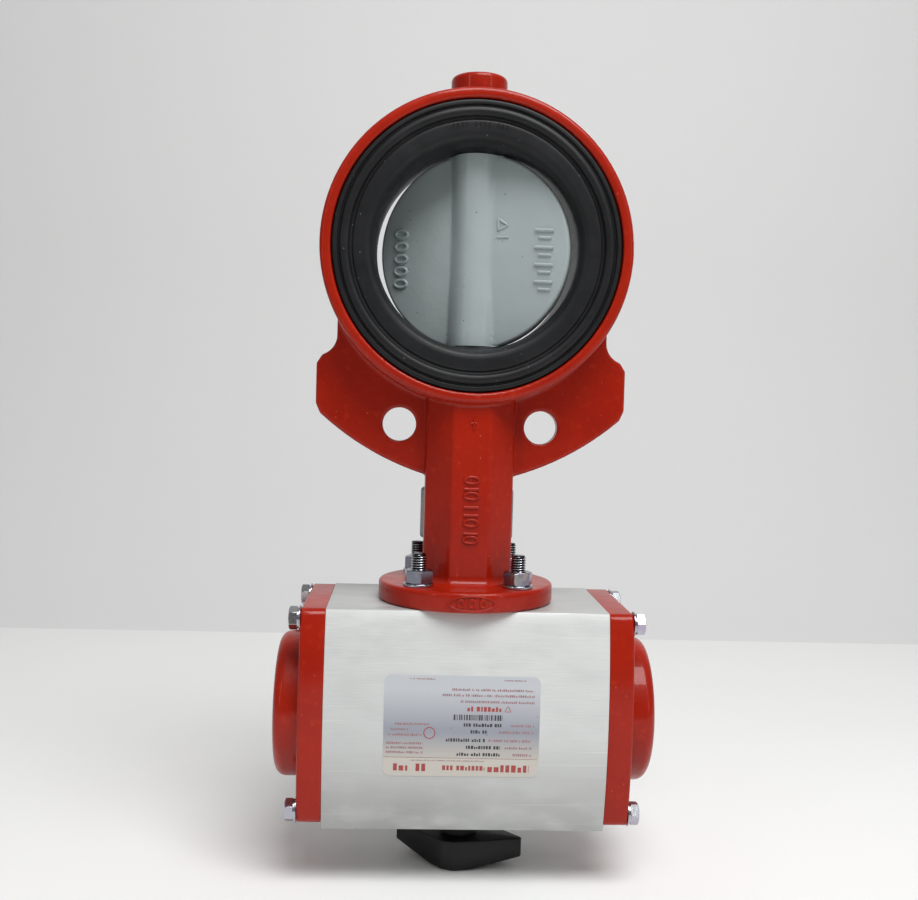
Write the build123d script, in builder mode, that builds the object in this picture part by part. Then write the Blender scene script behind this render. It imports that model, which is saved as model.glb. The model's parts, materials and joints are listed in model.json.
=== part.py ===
"""Wafer butterfly valve with a double-acting rack-and-pinion pneumatic actuator.

Units are millimetres. +Z is up along the stem, +Y is the flow direction through the valve
and +X runs along the two pistons. The origin is on the stem axis, at the foot of the
position indicator, so the assembly stands on Z = 0 with the valve on top. The model is
drawn 20 degrees away from shut.
"""
from build123d import *
from math import acos, cos, pi, radians, sin, sqrt, tan
import os

# ---- heights along the stem axis ----
mounting_face_z = 137.5          # top of the actuator, where the valve flange sits
body_height = 108.3
body_low_z = mounting_face_z - body_height
cylinder_z = mounting_face_z - 56.0
bore_centre_height = 178.9       # from the mounting face to the pipe axis
pipe_z = mounting_face_z + bore_centre_height

# ---- actuator body ----
body_half_length = 69.5
front_edge_y = -37.2
front_crown_y = -44.0
back_edge_y = 39.5
back_pad_y = 49.0
back_pad_high_z = mounting_face_z - 24.0
back_pad_low_z = mounting_face_z - 92.0
cylinder_r = 40.0
back_shoulder = (6.4, 12.0)      # middle of the upper back arc: behind the edge, below the top
back_heel = (5.6, 8.0)           # middle of the lower back arc: behind the edge, above the bottom

# ---- end caps ----
cap_plate_t = 12.2
cap_low_gap = 2.4                # the cap plate ends this far above the bottom of the body
dome_r = 36.7
dome_length = 13.1
dome_wall = 4.2
spigot_length = 4.5
cap_bolt_y = 33.0
cap_bolt_high_z = mounting_face_z - 5.6
cap_bolt_low_z = mounting_face_z - 100.5
cap_bolt_r = 3.0
cap_bolt_grip = 13.5             # length of the bolt in the body
cap_corner_r = 4.5
cap_edge_r = 1.4
dome_edge_r = 5.5
dome_root_r = 1.3
oring_groove_x_in_cap = 1.0      # from the plate to the O-ring groove of the spigot
oring_groove_t_in_cap = 2.4

# ---- rack and pinion ----
gear_teeth = 16
gear_module = 1.75
pressure_angle = 20.0
pitch_r = gear_module * gear_teeth / 2
flank_backlash = 0.14
gear_half_height = 13.5
rack_half_height = 12.5
rack_addendum = 0.85 * gear_module
rack_back_y = 33.0

# ---- travel of the rotor: degrees from the drawn pose ----
turn_to_shut = 20.0
turn_to_open = 70.0
rotor_angle = -turn_to_shut      # direction of the disc edge and the indicator, from +X
piston_travel = radians(turn_to_shut + turn_to_open) * pitch_r
piston_out = radians(turn_to_open) * pitch_r

piston_r = 39.85
piston_head_t = 12.5
piston_face_x = body_half_length - spigot_length - 0.4 - piston_out
rack_tip_x = 22.6
running_gap = 0.05

# ---- pinion ----
journal_r = 13.0
upper_bush_r = 15.5
upper_bush_top_gap = 7.0         # from the mounting face to the upper bush
upper_bush_h = 8.2
lower_bush_r = 16.5
lower_bush_h = 12.0
bush_bore_r = journal_r + running_gap
pinion_top_z = mounting_face_z - 1.0
cam_seat_af = 22.0
stub_r = 7.0
stub_af = 10.0

# ---- valve ----
ring_r = 77.9
ring_half_width = 26.0
seat_r = 71.8
seat_bore_r = 50.8
disc_r = 50.3
stem_r = 7.95
stem_tip_r = 6.0
hub_flat = 48.3                  # from the pipe axis to the flat ends of the disc hub
flange_r = 45.0
flange_t = 10.0
stud_circle_r = 35.0
stud_r = 4.0
stud_hole_depth = 13.0           # in the actuator body
stud_clearance_r = 4.5           # in the flange
neck_af = 45.0
neck_foot_r = 4.0                # casting fillet between neck and flange
ear_half_t = 4.5
ear_hole_r = 8.6
ear_hole_x = 36.45
ear_hole_drop = 89.1             # below the pipe axis
boss_r = 14.4
boss_height = 88.6               # above the pipe axis

# ---- air ports and pads ----
port_z = mounting_face_z - 45.0
port_half_gap = 12.0
port_r = 5.9
centre_port_depth = 14.0         # breaks through into the middle chamber
end_port_depth = 8.5             # ends at the air passage
small_thread_r = 2.1             # M5 tapped holes
valve_hole_grid = (32.0, 24.0)
valve_hole_depth = 7.5
accessory_hole_grid = (80.0, 30.0)
accessory_hole_depth = 9.0
passage_y = 43.7
passage_r = 2.0
stop_screw_x = 16.0
stop_screw_z = mounting_face_z - 80.0
stop_screw_r = 4.0
stop_screw_thread_depth = 24.0
stop_face_y = 12.0

os.makedirs("parts", exist_ok=True)

stem_axis = Axis((0, 0, 0), (0, 0, 1))
cylinder_axis = Axis((0, 0, cylinder_z), (1, 0, 0))
pipe_axis = Axis((0, 0, pipe_z), (0, 1, 0))
stud_points = [
    (stud_circle_r * cos(radians(a)), stud_circle_r * sin(radians(a))) for a in (45, 135, 225, 315)
]
cap_bolt_points = [
    (y, z) for y in (-cap_bolt_y, cap_bolt_y) for z in (cap_bolt_low_z, cap_bolt_high_z)
]


def save(part, name):
    """Labels one finished piece and writes it to its own file."""
    part.label = name
    export_step(part, f"parts/{name}.step")


def level(z):
    """A horizontal plane at height z, square to the row axes."""
    return Plane.XY.offset(z)


def rotor_level(z):
    """A horizontal plane at height z whose x axis lies along the disc edge."""
    turn = radians(rotor_angle)
    return Plane(origin=(0, 0, z), x_dir=(cos(turn), sin(turn), 0), z_dir=(0, 0, 1))


def rotor_direction(offset):
    """Unit direction in the horizontal plane, offset degrees from the disc edge."""
    turn = radians(rotor_angle + offset)
    return (cos(turn), sin(turn), 0)


def make_hex_screw(across_flats, head_height, shank_r, shank_length):
    """Hex-head screw along Z: the head stands on Z = 0 and the shank hangs below it."""
    corner_r = across_flats / sqrt(3)
    with BuildPart() as screw:
        with BuildSketch(Plane.XY):
            RegularPolygon(across_flats / 2, 6, major_radius=False)
        extrude(amount=head_height)
        with BuildSketch(Plane.XZ):
            with BuildLine():
                Polyline(
                    (0, 0), (corner_r, 0), (corner_r, head_height * 0.84),
                    (across_flats * 0.47, head_height), (0, head_height), (0, 0),
                )
            make_face()
        revolve(axis=Axis.Z, mode=Mode.INTERSECT)
        with BuildSketch(Plane.XY):
            Circle(shank_r)
        extrude(amount=-shank_length)
        chamfer(screw.faces().sort_by(Axis.Z)[0].edges(), shank_r * 0.2)
    return screw.part


def make_hex_nut(across_flats, height, hole_r):
    """Hex nut along Z with both ends chamfered, standing on Z = 0."""
    corner_r = across_flats / sqrt(3)
    bevel = height * 0.12
    with BuildPart() as nut:
        with BuildSketch(Plane.XY):
            RegularPolygon(across_flats / 2, 6, major_radius=False)
            Circle(hole_r, mode=Mode.SUBTRACT)
        extrude(amount=height)
        with BuildSketch(Plane.XZ):
            with BuildLine():
                Polyline(
                    (0, 0), (across_flats * 0.48, 0), (corner_r, bevel),
                    (corner_r, height - bevel), (across_flats * 0.48, height), (0, height), (0, 0),
                )
            make_face()
        revolve(axis=Axis.Z, mode=Mode.INTERSECT)
    return nut.part


def make_ring(outer_r, inner_r, height):
    """Plain washer or bush along Z, standing on Z = 0."""
    with BuildPart() as ring:
        with BuildSketch(Plane.XY):
            Circle(outer_r)
            Circle(inner_r, mode=Mode.SUBTRACT)
        extrude(amount=height)
    return ring.part


def place_all(part, planes):
    """Copies of one part, one standing on each plane, as one group of separate solids."""
    with BuildPart() as group:
        for plane in planes:
            add(plane.location * part)
    return group.part


def body_outline(low_z, high_z):
    """Cross-section of the actuator body, square to the pistons, in (y, z)."""
    middle_z = mounting_face_z - body_height / 2
    with BuildLine() as outline:
        front = ThreePointArc(
            (front_edge_y, body_low_z), (front_crown_y, middle_z), (front_edge_y, mounting_face_z)
        )
        top = Line(front @ 1, (back_edge_y, mounting_face_z))
        upper = ThreePointArc(
            top @ 1,
            (back_edge_y + back_shoulder[0], mounting_face_z - back_shoulder[1]),
            (back_pad_y, back_pad_high_z),
        )
        pad = Line(upper @ 1, (back_pad_y, back_pad_low_z))
        lower = ThreePointArc(
            pad @ 1, (back_edge_y + back_heel[0], body_low_z + back_heel[1]), (back_edge_y, body_low_z)
        )
        Line(lower @ 1, front @ 0)
    with BuildSketch() as section:
        add(outline.line)
        make_face()
        with Locations((0, (low_z + high_z) / 2)):
            Rectangle(4 * back_pad_y, high_z - low_z, mode=Mode.INTERSECT)
    return section.sketch


# ======================= actuator: fixed parts =======================

# Cylinder body: an extrusion along X, bored for the pistons and across for the pinion.
with BuildPart() as actuator_body:
    with BuildSketch(Plane.YZ.offset(-body_half_length)):
        add(body_outline(body_low_z, mounting_face_z))
    extrude(amount=2 * body_half_length)
    with BuildSketch(Plane.YZ.offset(-body_half_length)):
        with Locations((0, cylinder_z)):
            Circle(cylinder_r)
        with Locations((passage_y, port_z)):
            Circle(passage_r)
    extrude(amount=2 * body_half_length, mode=Mode.SUBTRACT)
    # pinion bearings: a clear hole and a bush seat at the top, a wide bush seat at the bottom
    with BuildSketch(level(cylinder_z)):
        Circle(journal_r + 0.08)
    extrude(amount=mounting_face_z - cylinder_z, mode=Mode.SUBTRACT)
    with BuildSketch(level(cylinder_z)):
        Circle(upper_bush_r)
    extrude(amount=mounting_face_z - upper_bush_top_gap - cylinder_z, mode=Mode.SUBTRACT)
    with BuildSketch(level(cylinder_z)):
        Circle(lower_bush_r)
    extrude(amount=-(cylinder_z - body_low_z), mode=Mode.SUBTRACT)
    # stud holes in the mounting face
    with BuildSketch(level(mounting_face_z)):
        with Locations(*stud_points):
            Circle(stud_r)
    extrude(amount=-stud_hole_depth, mode=Mode.SUBTRACT)
    # end cap bolt holes in both ends
    for side in (-1, 1):
        with BuildSketch(Plane.YZ.offset(side * body_half_length)):
            with Locations(*cap_bolt_points):
                Circle(cap_bolt_r)
        extrude(amount=-side * (cap_bolt_grip + 1.5), mode=Mode.SUBTRACT)
    # rear pad: one port to the middle chamber, one to the passage, and four solenoid valve holes
    with BuildSketch(Plane.XZ.offset(-back_pad_y)):
        with Locations((port_half_gap, port_z)):
            Circle(port_r)
    extrude(amount=centre_port_depth, mode=Mode.SUBTRACT)
    with BuildSketch(Plane.XZ.offset(-back_pad_y)):
        with Locations((-port_half_gap, port_z)):
            Circle(port_r)
    extrude(amount=end_port_depth, mode=Mode.SUBTRACT)
    with BuildSketch(Plane.XZ.offset(-back_pad_y)):
        with Locations((0, port_z)):
            with GridLocations(*valve_hole_grid, 2, 2):
                Circle(small_thread_r)
    extrude(amount=valve_hole_depth, mode=Mode.SUBTRACT)
    with BuildSketch(Plane.XZ.offset(-back_pad_y)):
        with Locations((-stop_screw_x, stop_screw_z), (stop_screw_x, stop_screw_z)):
            Circle(stop_screw_r)
    extrude(amount=stop_screw_thread_depth, mode=Mode.SUBTRACT)
    # accessory holes around the indicator
    with BuildSketch(level(body_low_z)):
        with GridLocations(*accessory_hole_grid, 2, 2):
            Circle(small_thread_r)
    extrude(amount=accessory_hole_depth, mode=Mode.SUBTRACT)
save(actuator_body.part, "actuator_body")

# Printed label, following the curved front of the body.
label_width = 75.6
label_height = 49.2
label_t = 0.25
label_x = -2.2
label_z = mounting_face_z - 55.1
crown_rise = front_edge_y - front_crown_y
front_arc_r = ((body_height / 2) ** 2 + crown_rise**2) / (2 * crown_rise)
arc_centre = (front_crown_y + front_arc_r, mounting_face_z - body_height / 2)
with BuildPart() as name_label:
    with BuildSketch(Plane.XZ.offset(-front_edge_y)):
        with Locations((label_x, label_z)):
            RectangleRounded(label_width, label_height, 3.5)
    extrude(amount=crown_rise + 2)
    with BuildSketch(Plane.YZ.offset(label_x - label_width)):
        with Locations(arc_centre):
            Circle(front_arc_r + label_t)
    extrude(amount=2 * label_width, mode=Mode.INTERSECT)
    with BuildSketch(Plane.YZ.offset(label_x - label_width)):
        with Locations(arc_centre):
            Circle(front_arc_r)
    extrude(amount=2 * label_width, mode=Mode.SUBTRACT)
save(name_label.part, "name_label")


def make_end_cap():
    """End cap for the +X end: plate, hollow round dome and a spigot that enters the cylinder."""
    inner_x = body_half_length
    plate_x = inner_x + cap_plate_t
    dome_end_x = plate_x + dome_length
    with BuildPart() as cap:
        with BuildSketch(Plane.YZ.offset(inner_x)) as plate:
            add(body_outline(body_low_z + cap_low_gap, mounting_face_z - 0.2))
            fillet(plate.vertices(), cap_corner_r)
        extrude(amount=cap_plate_t)
        fillet(cap.faces().sort_by(Axis.X)[-1].edges(), cap_edge_r)
        with BuildSketch(Plane.XZ) as dome_section:
            with Locations((plate_x - 1, cylinder_z)):
                Rectangle(dome_length + 1, dome_r, align=(Align.MIN, Align.MIN))
            fillet(dome_section.vertices().group_by(Axis.X)[-1].sort_by(Axis.Y)[-1], dome_edge_r)
        revolve(axis=cylinder_axis)
        root = cap.edges().filter_by(GeomType.CIRCLE).filter_by(
            lambda e: abs(e.radius - dome_r) < 0.01 and abs(e.center().X - plate_x) < 0.01
        )
        fillet(root, dome_root_r)
        with BuildSketch(Plane.YZ.offset(inner_x)):
            with Locations((0, cylinder_z)):
                Circle(cylinder_r - 0.1)
        extrude(amount=-spigot_length)
        # groove for the cap O-ring
        with BuildSketch(Plane.YZ.offset(inner_x - oring_groove_x_in_cap)):
            with Locations((0, cylinder_z)):
                Circle(cylinder_r + 1)
                Circle(cylinder_r - 2, mode=Mode.SUBTRACT)
        extrude(amount=-oring_groove_t_in_cap, mode=Mode.SUBTRACT)
        # hollow inside
        with BuildSketch(Plane.XZ) as hollow_section:
            with Locations((inner_x - 10, cylinder_z)):
                Rectangle(
                    dome_end_x - dome_wall - inner_x + 10, dome_r - dome_wall, align=(Align.MIN, Align.MIN)
                )
            fillet(hollow_section.vertices().group_by(Axis.X)[-1].sort_by(Axis.Y)[-1], 5.0)
        revolve(axis=cylinder_axis, mode=Mode.SUBTRACT)
        # bolt holes and the air way from the body passage into the dome
        with BuildSketch(Plane.YZ.offset(inner_x)):
            with Locations(*cap_bolt_points):
                Circle(cap_bolt_r + 0.2)
        extrude(amount=cap_plate_t, mode=Mode.SUBTRACT)
        with BuildSketch(Plane.YZ.offset(inner_x)):
            with Locations((passage_y, port_z)):
                Circle(3.2)
        extrude(amount=1.4, mode=Mode.SUBTRACT)
        with BuildSketch(Plane.YZ.offset(inner_x)):
            with Locations((passage_y, port_z)):
                Circle(passage_r)
        extrude(amount=7, mode=Mode.SUBTRACT)
        with BuildSketch(Plane.XZ.offset(-passage_y)):
            with Locations((inner_x + 5, port_z)):
                Circle(passage_r - 0.2)
        extrude(amount=16, mode=Mode.SUBTRACT)
    return cap.part


end_cap = make_end_cap()
save(end_cap, "right_end_cap")
with BuildPart() as left_end_cap:
    add(end_cap)
    mirror(about=Plane.YZ, mode=Mode.REPLACE)
save(left_end_cap.part, "left_end_cap")

# O-rings between the caps and the cylinder.
with BuildPart() as end_cap_orings:
    for side in (-1, 1):
        with BuildSketch(Plane.XZ):
            groove_middle_x = body_half_length - oring_groove_x_in_cap - oring_groove_t_in_cap / 2
            with Locations((side * groove_middle_x, cylinder_z + cylinder_r - 1.02)):
                Circle(0.97)
        revolve(axis=cylinder_axis)
save(end_cap_orings.part, "end_cap_orings")

# Small O-rings around the air passage, between body and caps.
with BuildPart() as passage_orings:
    for side in (-1, 1):
        centre_x = side * (body_half_length + 0.7)
        with BuildSketch(Plane.XZ.offset(-passage_y)):
            with Locations((centre_x, port_z + 2.5)):
                Circle(0.65)
        revolve(axis=Axis((0, passage_y, port_z), (1, 0, 0)))
save(passage_orings.part, "passage_orings")

# End cap bolts and their washers.
cap_washer_t = 1.6
cap_face_x = body_half_length + cap_plate_t
bolt_planes = []
washer_planes = []
for side in (-1, 1):
    for y, z in cap_bolt_points:
        outward = (side, 0, 0)
        bolt_planes.append(
            Plane(origin=(side * (cap_face_x + cap_washer_t), y, z), x_dir=(0, 0.966, 0.259), z_dir=outward)
        )
        washer_planes.append(Plane(origin=(side * cap_face_x, y, z), x_dir=(0, 1, 0), z_dir=outward))
cap_bolt = make_hex_screw(10.0, 4.2, cap_bolt_r, cap_washer_t + cap_plate_t + cap_bolt_grip)
save(place_all(cap_bolt, bolt_planes), "end_cap_bolts")
save(place_all(make_ring(6.2, 3.1, cap_washer_t), washer_planes), "end_cap_washers")

# ======================= pistons =======================

groove_bottom_r = 37.2
oring_groove_x = piston_face_x - 1.2
oring_groove_w = 3.5
band_groove_x = oring_groove_x - oring_groove_w - 1.6
band_groove_w = 3.4
band_r = 38.4


def make_left_piston():
    """Left piston: a round head at -X with a rack that reaches past the pinion on the -Y side."""
    face_x = -piston_face_x
    inner_x = face_x + piston_head_t
    pitch = pi * gear_module
    half_tooth = pitch / 4 - flank_backlash / 2
    tip_y = -(pitch_r - rack_addendum)
    root_y = -(pitch_r + 1.25 * gear_module)
    slope = tan(radians(pressure_angle))
    root_half = half_tooth + slope * (-root_y - pitch_r)
    tip_half = half_tooth - slope * rack_addendum
    tooth_centres = [pitch * (k + 0.5) for k in range(-3, 4)]
    outline = [(inner_x - 1, tip_y)]
    for number, centre in enumerate(tooth_centres):
        if number > 0:
            outline.append((centre - root_half, root_y))
            outline.append((centre - tip_half, tip_y))
        outline.append((centre + tip_half, tip_y))
        outline.append((centre + root_half, root_y))
    outline += [(rack_tip_x, root_y), (rack_tip_x, -rack_back_y + 4), (rack_tip_x - 4, -rack_back_y)]
    outline += [(inner_x - 1, -rack_back_y)]
    with BuildPart() as piston:
        with BuildSketch(Plane.YZ.offset(face_x)):
            with Locations((0, cylinder_z)):
                Circle(piston_r)
        extrude(amount=piston_head_t)
        for groove_x, width, bottom_r in (
            (-oring_groove_x, oring_groove_w, groove_bottom_r),
            (-band_groove_x, band_groove_w, band_r),
        ):
            with BuildSketch(Plane.YZ.offset(groove_x)):
                with Locations((0, cylinder_z)):
                    Circle(cylinder_r + 2)
                    Circle(bottom_r, mode=Mode.SUBTRACT)
            extrude(amount=width, mode=Mode.SUBTRACT)
        with BuildSketch(level(cylinder_z - rack_half_height)):
            with BuildLine():
                Polyline(*outline, close=True)
            make_face()
        extrude(amount=2 * rack_half_height)
        # lightening pocket in the outer face
        with BuildSketch(Plane.YZ.offset(face_x)):
            with Locations((0, cylinder_z)):
                Circle(26)
                Circle(12, mode=Mode.SUBTRACT)
        extrude(amount=5, mode=Mode.SUBTRACT)
    return piston.part


def make_left_oring():
    """O-ring in the piston's outer groove."""
    with BuildPart() as ring:
        with BuildSketch(Plane.XZ):
            with Locations((-oring_groove_x + oring_groove_w / 2, cylinder_z + groove_bottom_r + 1.35)):
                Circle(1.34)
        revolve(axis=cylinder_axis)
    return ring.part


def make_left_band():
    """Plastic wear band in the piston's inner groove."""
    with BuildPart() as band:
        with BuildSketch(Plane.YZ.offset(-band_groove_x)):
            with Locations((0, cylinder_z)):
                Circle(cylinder_r - running_gap)
                Circle(band_r, mode=Mode.SUBTRACT)
        extrude(amount=band_groove_w)
    return band.part


def make_left_rack_pad():
    """Plastic pad on the back of the rack, which slides on the cylinder wall."""
    with BuildPart() as pad:
        with BuildSketch(Plane.YZ.offset(-4)):
            with Locations((0, cylinder_z)):
                Circle(cylinder_r - running_gap)
            with Locations((-rack_back_y - 10, cylinder_z)):
                Rectangle(20, 16, mode=Mode.INTERSECT)
        extrude(amount=20)
    return pad.part


piston_pieces = {
    "piston": make_left_piston(),
    "piston_oring": make_left_oring(),
    "wear_band": make_left_band(),
    "rack_pad": make_left_rack_pad(),
}
for piece_name, piece in piston_pieces.items():
    save(piece, f"left_{piece_name}")
    save(piece.rotate(stem_axis, 180), f"right_{piece_name}")

# ======================= pinion and what turns with it =======================


def involute_angle(r, base_r):
    """Polar angle of an involute of the base circle at radius r."""
    cos_a = base_r / r
    return tan(acos(cos_a)) - acos(cos_a)


def gear_outline():
    """Closed outline of the pinion teeth, with one tooth centred on -Y."""
    base_r = pitch_r * cos(radians(pressure_angle))
    root_r = pitch_r - 1.25 * gear_module
    tip_r = pitch_r + gear_module
    at_pitch = pi / (2 * gear_teeth) - flank_backlash / 2 / pitch_r
    flank_rs = [base_r + (tip_r - base_r) * k / 4 for k in range(5)]

    def polar(r, angle):
        return (r * cos(angle), r * sin(angle))

    def half_angle(r):
        return at_pitch + involute_angle(pitch_r, base_r) - involute_angle(r, base_r)

    root_half = half_angle(base_r)
    step = 2 * pi / gear_teeth
    with BuildLine() as outline:
        for tooth in range(gear_teeth):
            centre = -pi / 2 + tooth * step
            rising = [polar(r, centre - half_angle(r)) for r in flank_rs]
            falling = [polar(r, centre + half_angle(r)) for r in reversed(flank_rs)]
            next_root = centre + step - root_half
            Line(polar(root_r, centre - root_half), rising[0])
            Spline(*rising)
            ThreePointArc(rising[-1], polar(tip_r, centre), falling[0])
            Spline(*falling)
            Line(falling[-1], polar(root_r, centre + root_half))
            ThreePointArc(
                polar(root_r, centre + root_half), polar(root_r, centre + step / 2), polar(root_r, next_root)
            )
    return outline.line


cam_low_z = mounting_face_z - 85.0
cam_t = 9.0
cam_seat_low_z = cam_low_z - 1.0
gear_low_z = cylinder_z - gear_half_height
gear_high_z = cylinder_z + gear_half_height
snap_ring_z = body_low_z - 3.1
snap_ring_t = 1.5
stub_low_z = 12.5
socket_depth = 25.0

with BuildPart() as pinion:
    with BuildSketch(level(gear_low_z)):
        add(gear_outline())
        make_face()
    extrude(amount=2 * gear_half_height)
    with BuildSketch(level(gear_high_z)):
        Circle(journal_r)
    extrude(amount=pinion_top_z - gear_high_z)
    with BuildSketch(rotor_level(cam_seat_low_z)):
        RegularPolygon(cam_seat_af / 2, 8, major_radius=False)
    extrude(amount=gear_low_z - cam_seat_low_z)
    with BuildSketch(level(snap_ring_z - 2.4)):
        Circle(journal_r)
    extrude(amount=cam_seat_low_z - snap_ring_z + 2.4)
    with BuildSketch(rotor_level(stub_low_z)):
        Circle(stub_r)
        Rectangle(40, stub_af, mode=Mode.INTERSECT)
    extrude(amount=snap_ring_z - 2.4 - stub_low_z)
    # socket for the flatted end of the valve stem
    with BuildSketch(rotor_level(pinion_top_z)):
        Circle(stem_r)
        Rectangle(40, 11, mode=Mode.INTERSECT)
    extrude(amount=-socket_depth, mode=Mode.SUBTRACT)
    # O-ring grooves and the snap ring groove
    for groove_z, groove_h, groove_r in (
        (mounting_face_z - 5.6, 2.4, 11.2),
        (body_low_z + 2.2, 2.4, 11.2),
        (snap_ring_z, snap_ring_t + 0.1, 11.9),
    ):
        with BuildSketch(level(groove_z)):
            Circle(journal_r + 1)
            Circle(groove_r, mode=Mode.SUBTRACT)
        extrude(amount=groove_h, mode=Mode.SUBTRACT)
    # threaded hole for the indicator screw
    with BuildSketch(level(stub_low_z)):
        Circle(2.5)
    extrude(amount=14, mode=Mode.SUBTRACT)
save(pinion.part, "pinion")

with BuildPart() as pinion_orings:
    for groove_z in (mounting_face_z - 4.4, body_low_z + 3.4):
        with BuildSketch(Plane.XZ):
            with Locations((12.12, groove_z)):
                Circle(0.9)
        revolve(axis=Axis.Z)
save(pinion_orings.part, "pinion_orings")

upper_bush_z = mounting_face_z - upper_bush_top_gap - 0.2 - upper_bush_h
thrust_washer_t = 1.5
upper_bush = make_ring(upper_bush_r, bush_bore_r, upper_bush_h)
lower_bush = make_ring(lower_bush_r, bush_bore_r, lower_bush_h)
save(place_all(upper_bush, [level(upper_bush_z)]), "upper_pinion_bush")
save(place_all(lower_bush, [level(body_low_z)]), "lower_pinion_bush")
save(
    place_all(make_ring(20.0, journal_r + 0.4, thrust_washer_t), [level(body_low_z - thrust_washer_t)]),
    "thrust_washer",
)

# Snap ring that holds the pinion in: a split ring in its groove.
with BuildPart() as snap_ring:
    with BuildSketch(level(snap_ring_z)):
        Circle(16.0)
        Circle(11.9, mode=Mode.SUBTRACT)
        with Locations((-14, 0)):
            Rectangle(10, 5, mode=Mode.SUBTRACT)
    extrude(amount=snap_ring_t)
save(snap_ring.part, "snap_ring")

# Travel stop cam. In the shut pose its one flat lies across the right-hand stop screw, and a
# quarter turn later its other flat lies across the left-hand one.
cam_short = 12.0
cam_long = 20.5
cam_r = sqrt(cam_short**2 + cam_long**2)
with BuildPart() as travel_stop_cam:
    with BuildSketch(rotor_level(cam_low_z)) as cam_face:
        with BuildLine():
            flat = Line((-cam_short + 1.5, cam_short), (cam_long, cam_short))
            rim_middle = (cam_r * cos(radians(-45)), cam_r * sin(radians(-45)))
            rim = ThreePointArc(flat @ 1, rim_middle, (-cam_short, -cam_long))
            Polyline(rim @ 1, (-cam_short, cam_short - 1.5), flat @ 0)
        make_face()
        RegularPolygon(cam_seat_af / 2, 8, major_radius=False, mode=Mode.SUBTRACT)
    extrude(amount=cam_t)
save(travel_stop_cam.part, "travel_stop_cam")

# Travel stop screws, their seal washers and jam nuts, on the rear pad.
stop_gap = 0.25
stop_screw_proud = 13.0          # beyond the rear pad
stop_screw_length = back_pad_y + stop_screw_proud - stop_face_y - stop_gap
with BuildPart() as stop_screw:
    with BuildSketch(Plane.XY):
        Circle(stop_screw_r)
    extrude(amount=stop_screw_length)
    chamfer(stop_screw.edges().filter_by(GeomType.CIRCLE), 0.7)
    with BuildSketch(Plane.XY.offset(stop_screw_length)):
        RegularPolygon(2.0, 6, major_radius=False)
    extrude(amount=-4.5, mode=Mode.SUBTRACT)
stop_screw_planes = [
    Plane(origin=(x, stop_face_y + stop_gap, stop_screw_z), x_dir=(1, 0, 0), z_dir=(0, 1, 0))
    for x in (-stop_screw_x, stop_screw_x)
]
stop_washer_planes = [plane.offset(back_pad_y - stop_face_y - stop_gap) for plane in stop_screw_planes]
stop_nut_planes = [plane.offset(1.6) for plane in stop_washer_planes]
save(place_all(stop_screw.part, stop_screw_planes), "travel_stop_screws")
save(place_all(make_ring(8.0, stop_screw_r, 1.6), stop_washer_planes), "stop_seal_washers")
save(place_all(make_hex_nut(13.0, 6.5, stop_screw_r), stop_nut_planes), "stop_jam_nuts")

# Position indicator: a thick diamond with a round hub, standing point-down on its flat foot.
indicator_top_z = 15.5
indicator_tip_low_z = 5.9
indicator_tip = 34.0
indicator_half_width = 18.3
foot_half = 7.5
hub_r = 10.0
hub_top_z = snap_ring_z - 2.4
with BuildPart() as indicator:
    with BuildSketch(rotor_level(0)) as diamond:
        with BuildLine():
            Polyline(
                (indicator_tip, 1.2), (3.5, indicator_half_width), (-3.5, indicator_half_width),
                (-indicator_tip, 1.2), (-indicator_tip, -1.2), (-3.5, -indicator_half_width),
                (3.5, -indicator_half_width), (indicator_tip, -1.2), close=True,
            )
        make_face()
        fillet(diamond.vertices().filter_by(lambda v: v.distance_to(Vertex(0, 0, 0)) < 25), 4)
    extrude(amount=indicator_top_z)
    # underside slopes up from the foot to the two tips
    side_plane = Plane(origin=(0, 0, 0), x_dir=rotor_direction(0), z_dir=rotor_direction(-90))
    with BuildSketch(side_plane.offset(-30)):
        with BuildLine():
            Polyline(
                (-foot_half, 0), (foot_half, 0), (indicator_tip, indicator_tip_low_z),
                (indicator_tip, indicator_top_z), (-indicator_tip, indicator_top_z),
                (-indicator_tip, indicator_tip_low_z), close=True,
            )
        make_face()
    extrude(amount=60, mode=Mode.INTERSECT)
    chamfer(indicator.edges().group_by(Axis.Z)[0], 1.2)
    with BuildSketch(rotor_level(indicator_top_z)):
        Circle(hub_r)
    extrude(amount=hub_top_z - indicator_top_z)
    # socket for the flatted pinion stub, and a counterbored screw hole from below
    with BuildSketch(rotor_level(stub_low_z - 0.5)):
        Circle(stub_r)
        Rectangle(40, stub_af, mode=Mode.INTERSECT)
    extrude(amount=hub_top_z - stub_low_z + 0.5, mode=Mode.SUBTRACT)
    with BuildSketch(level(0)):
        Circle(3.2)
    extrude(amount=stub_low_z, mode=Mode.SUBTRACT)
    with BuildSketch(level(0)):
        Circle(5.6)
    extrude(amount=7.0, mode=Mode.SUBTRACT)
save(indicator.part, "indicator")

screw_head_h = 3.6
with BuildPart() as indicator_screw:
    with BuildSketch(level(7.0)):
        Circle(5.0)
    extrude(amount=-screw_head_h)
    with BuildSketch(level(7.0 - screw_head_h)):
        RegularPolygon(2.5, 6, major_radius=False)
    extrude(amount=2.2, mode=Mode.SUBTRACT)
    with BuildSketch(level(7.0)):
        Circle(2.5)
    extrude(amount=17.0)
save(indicator_screw.part, "indicator_screw")

# ======================= valve: fixed parts =======================

stem_hole_r = 8.3
neck_bush_low_z = mounting_face_z + 62.0
neck_bush_t = 22.0
stem_seal_z = neck_bush_low_z + neck_bush_t + 1.0
stem_seal_t = 7.0
flange_pocket_r = 13.5
flange_pocket_depth = 9.0
ring_pocket_y = 16.5
ring_bore_r = 58.0
tongue_r = 61.5
tongue_half = 8.0
boss_hole_end_z = pipe_z + 82.0


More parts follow.
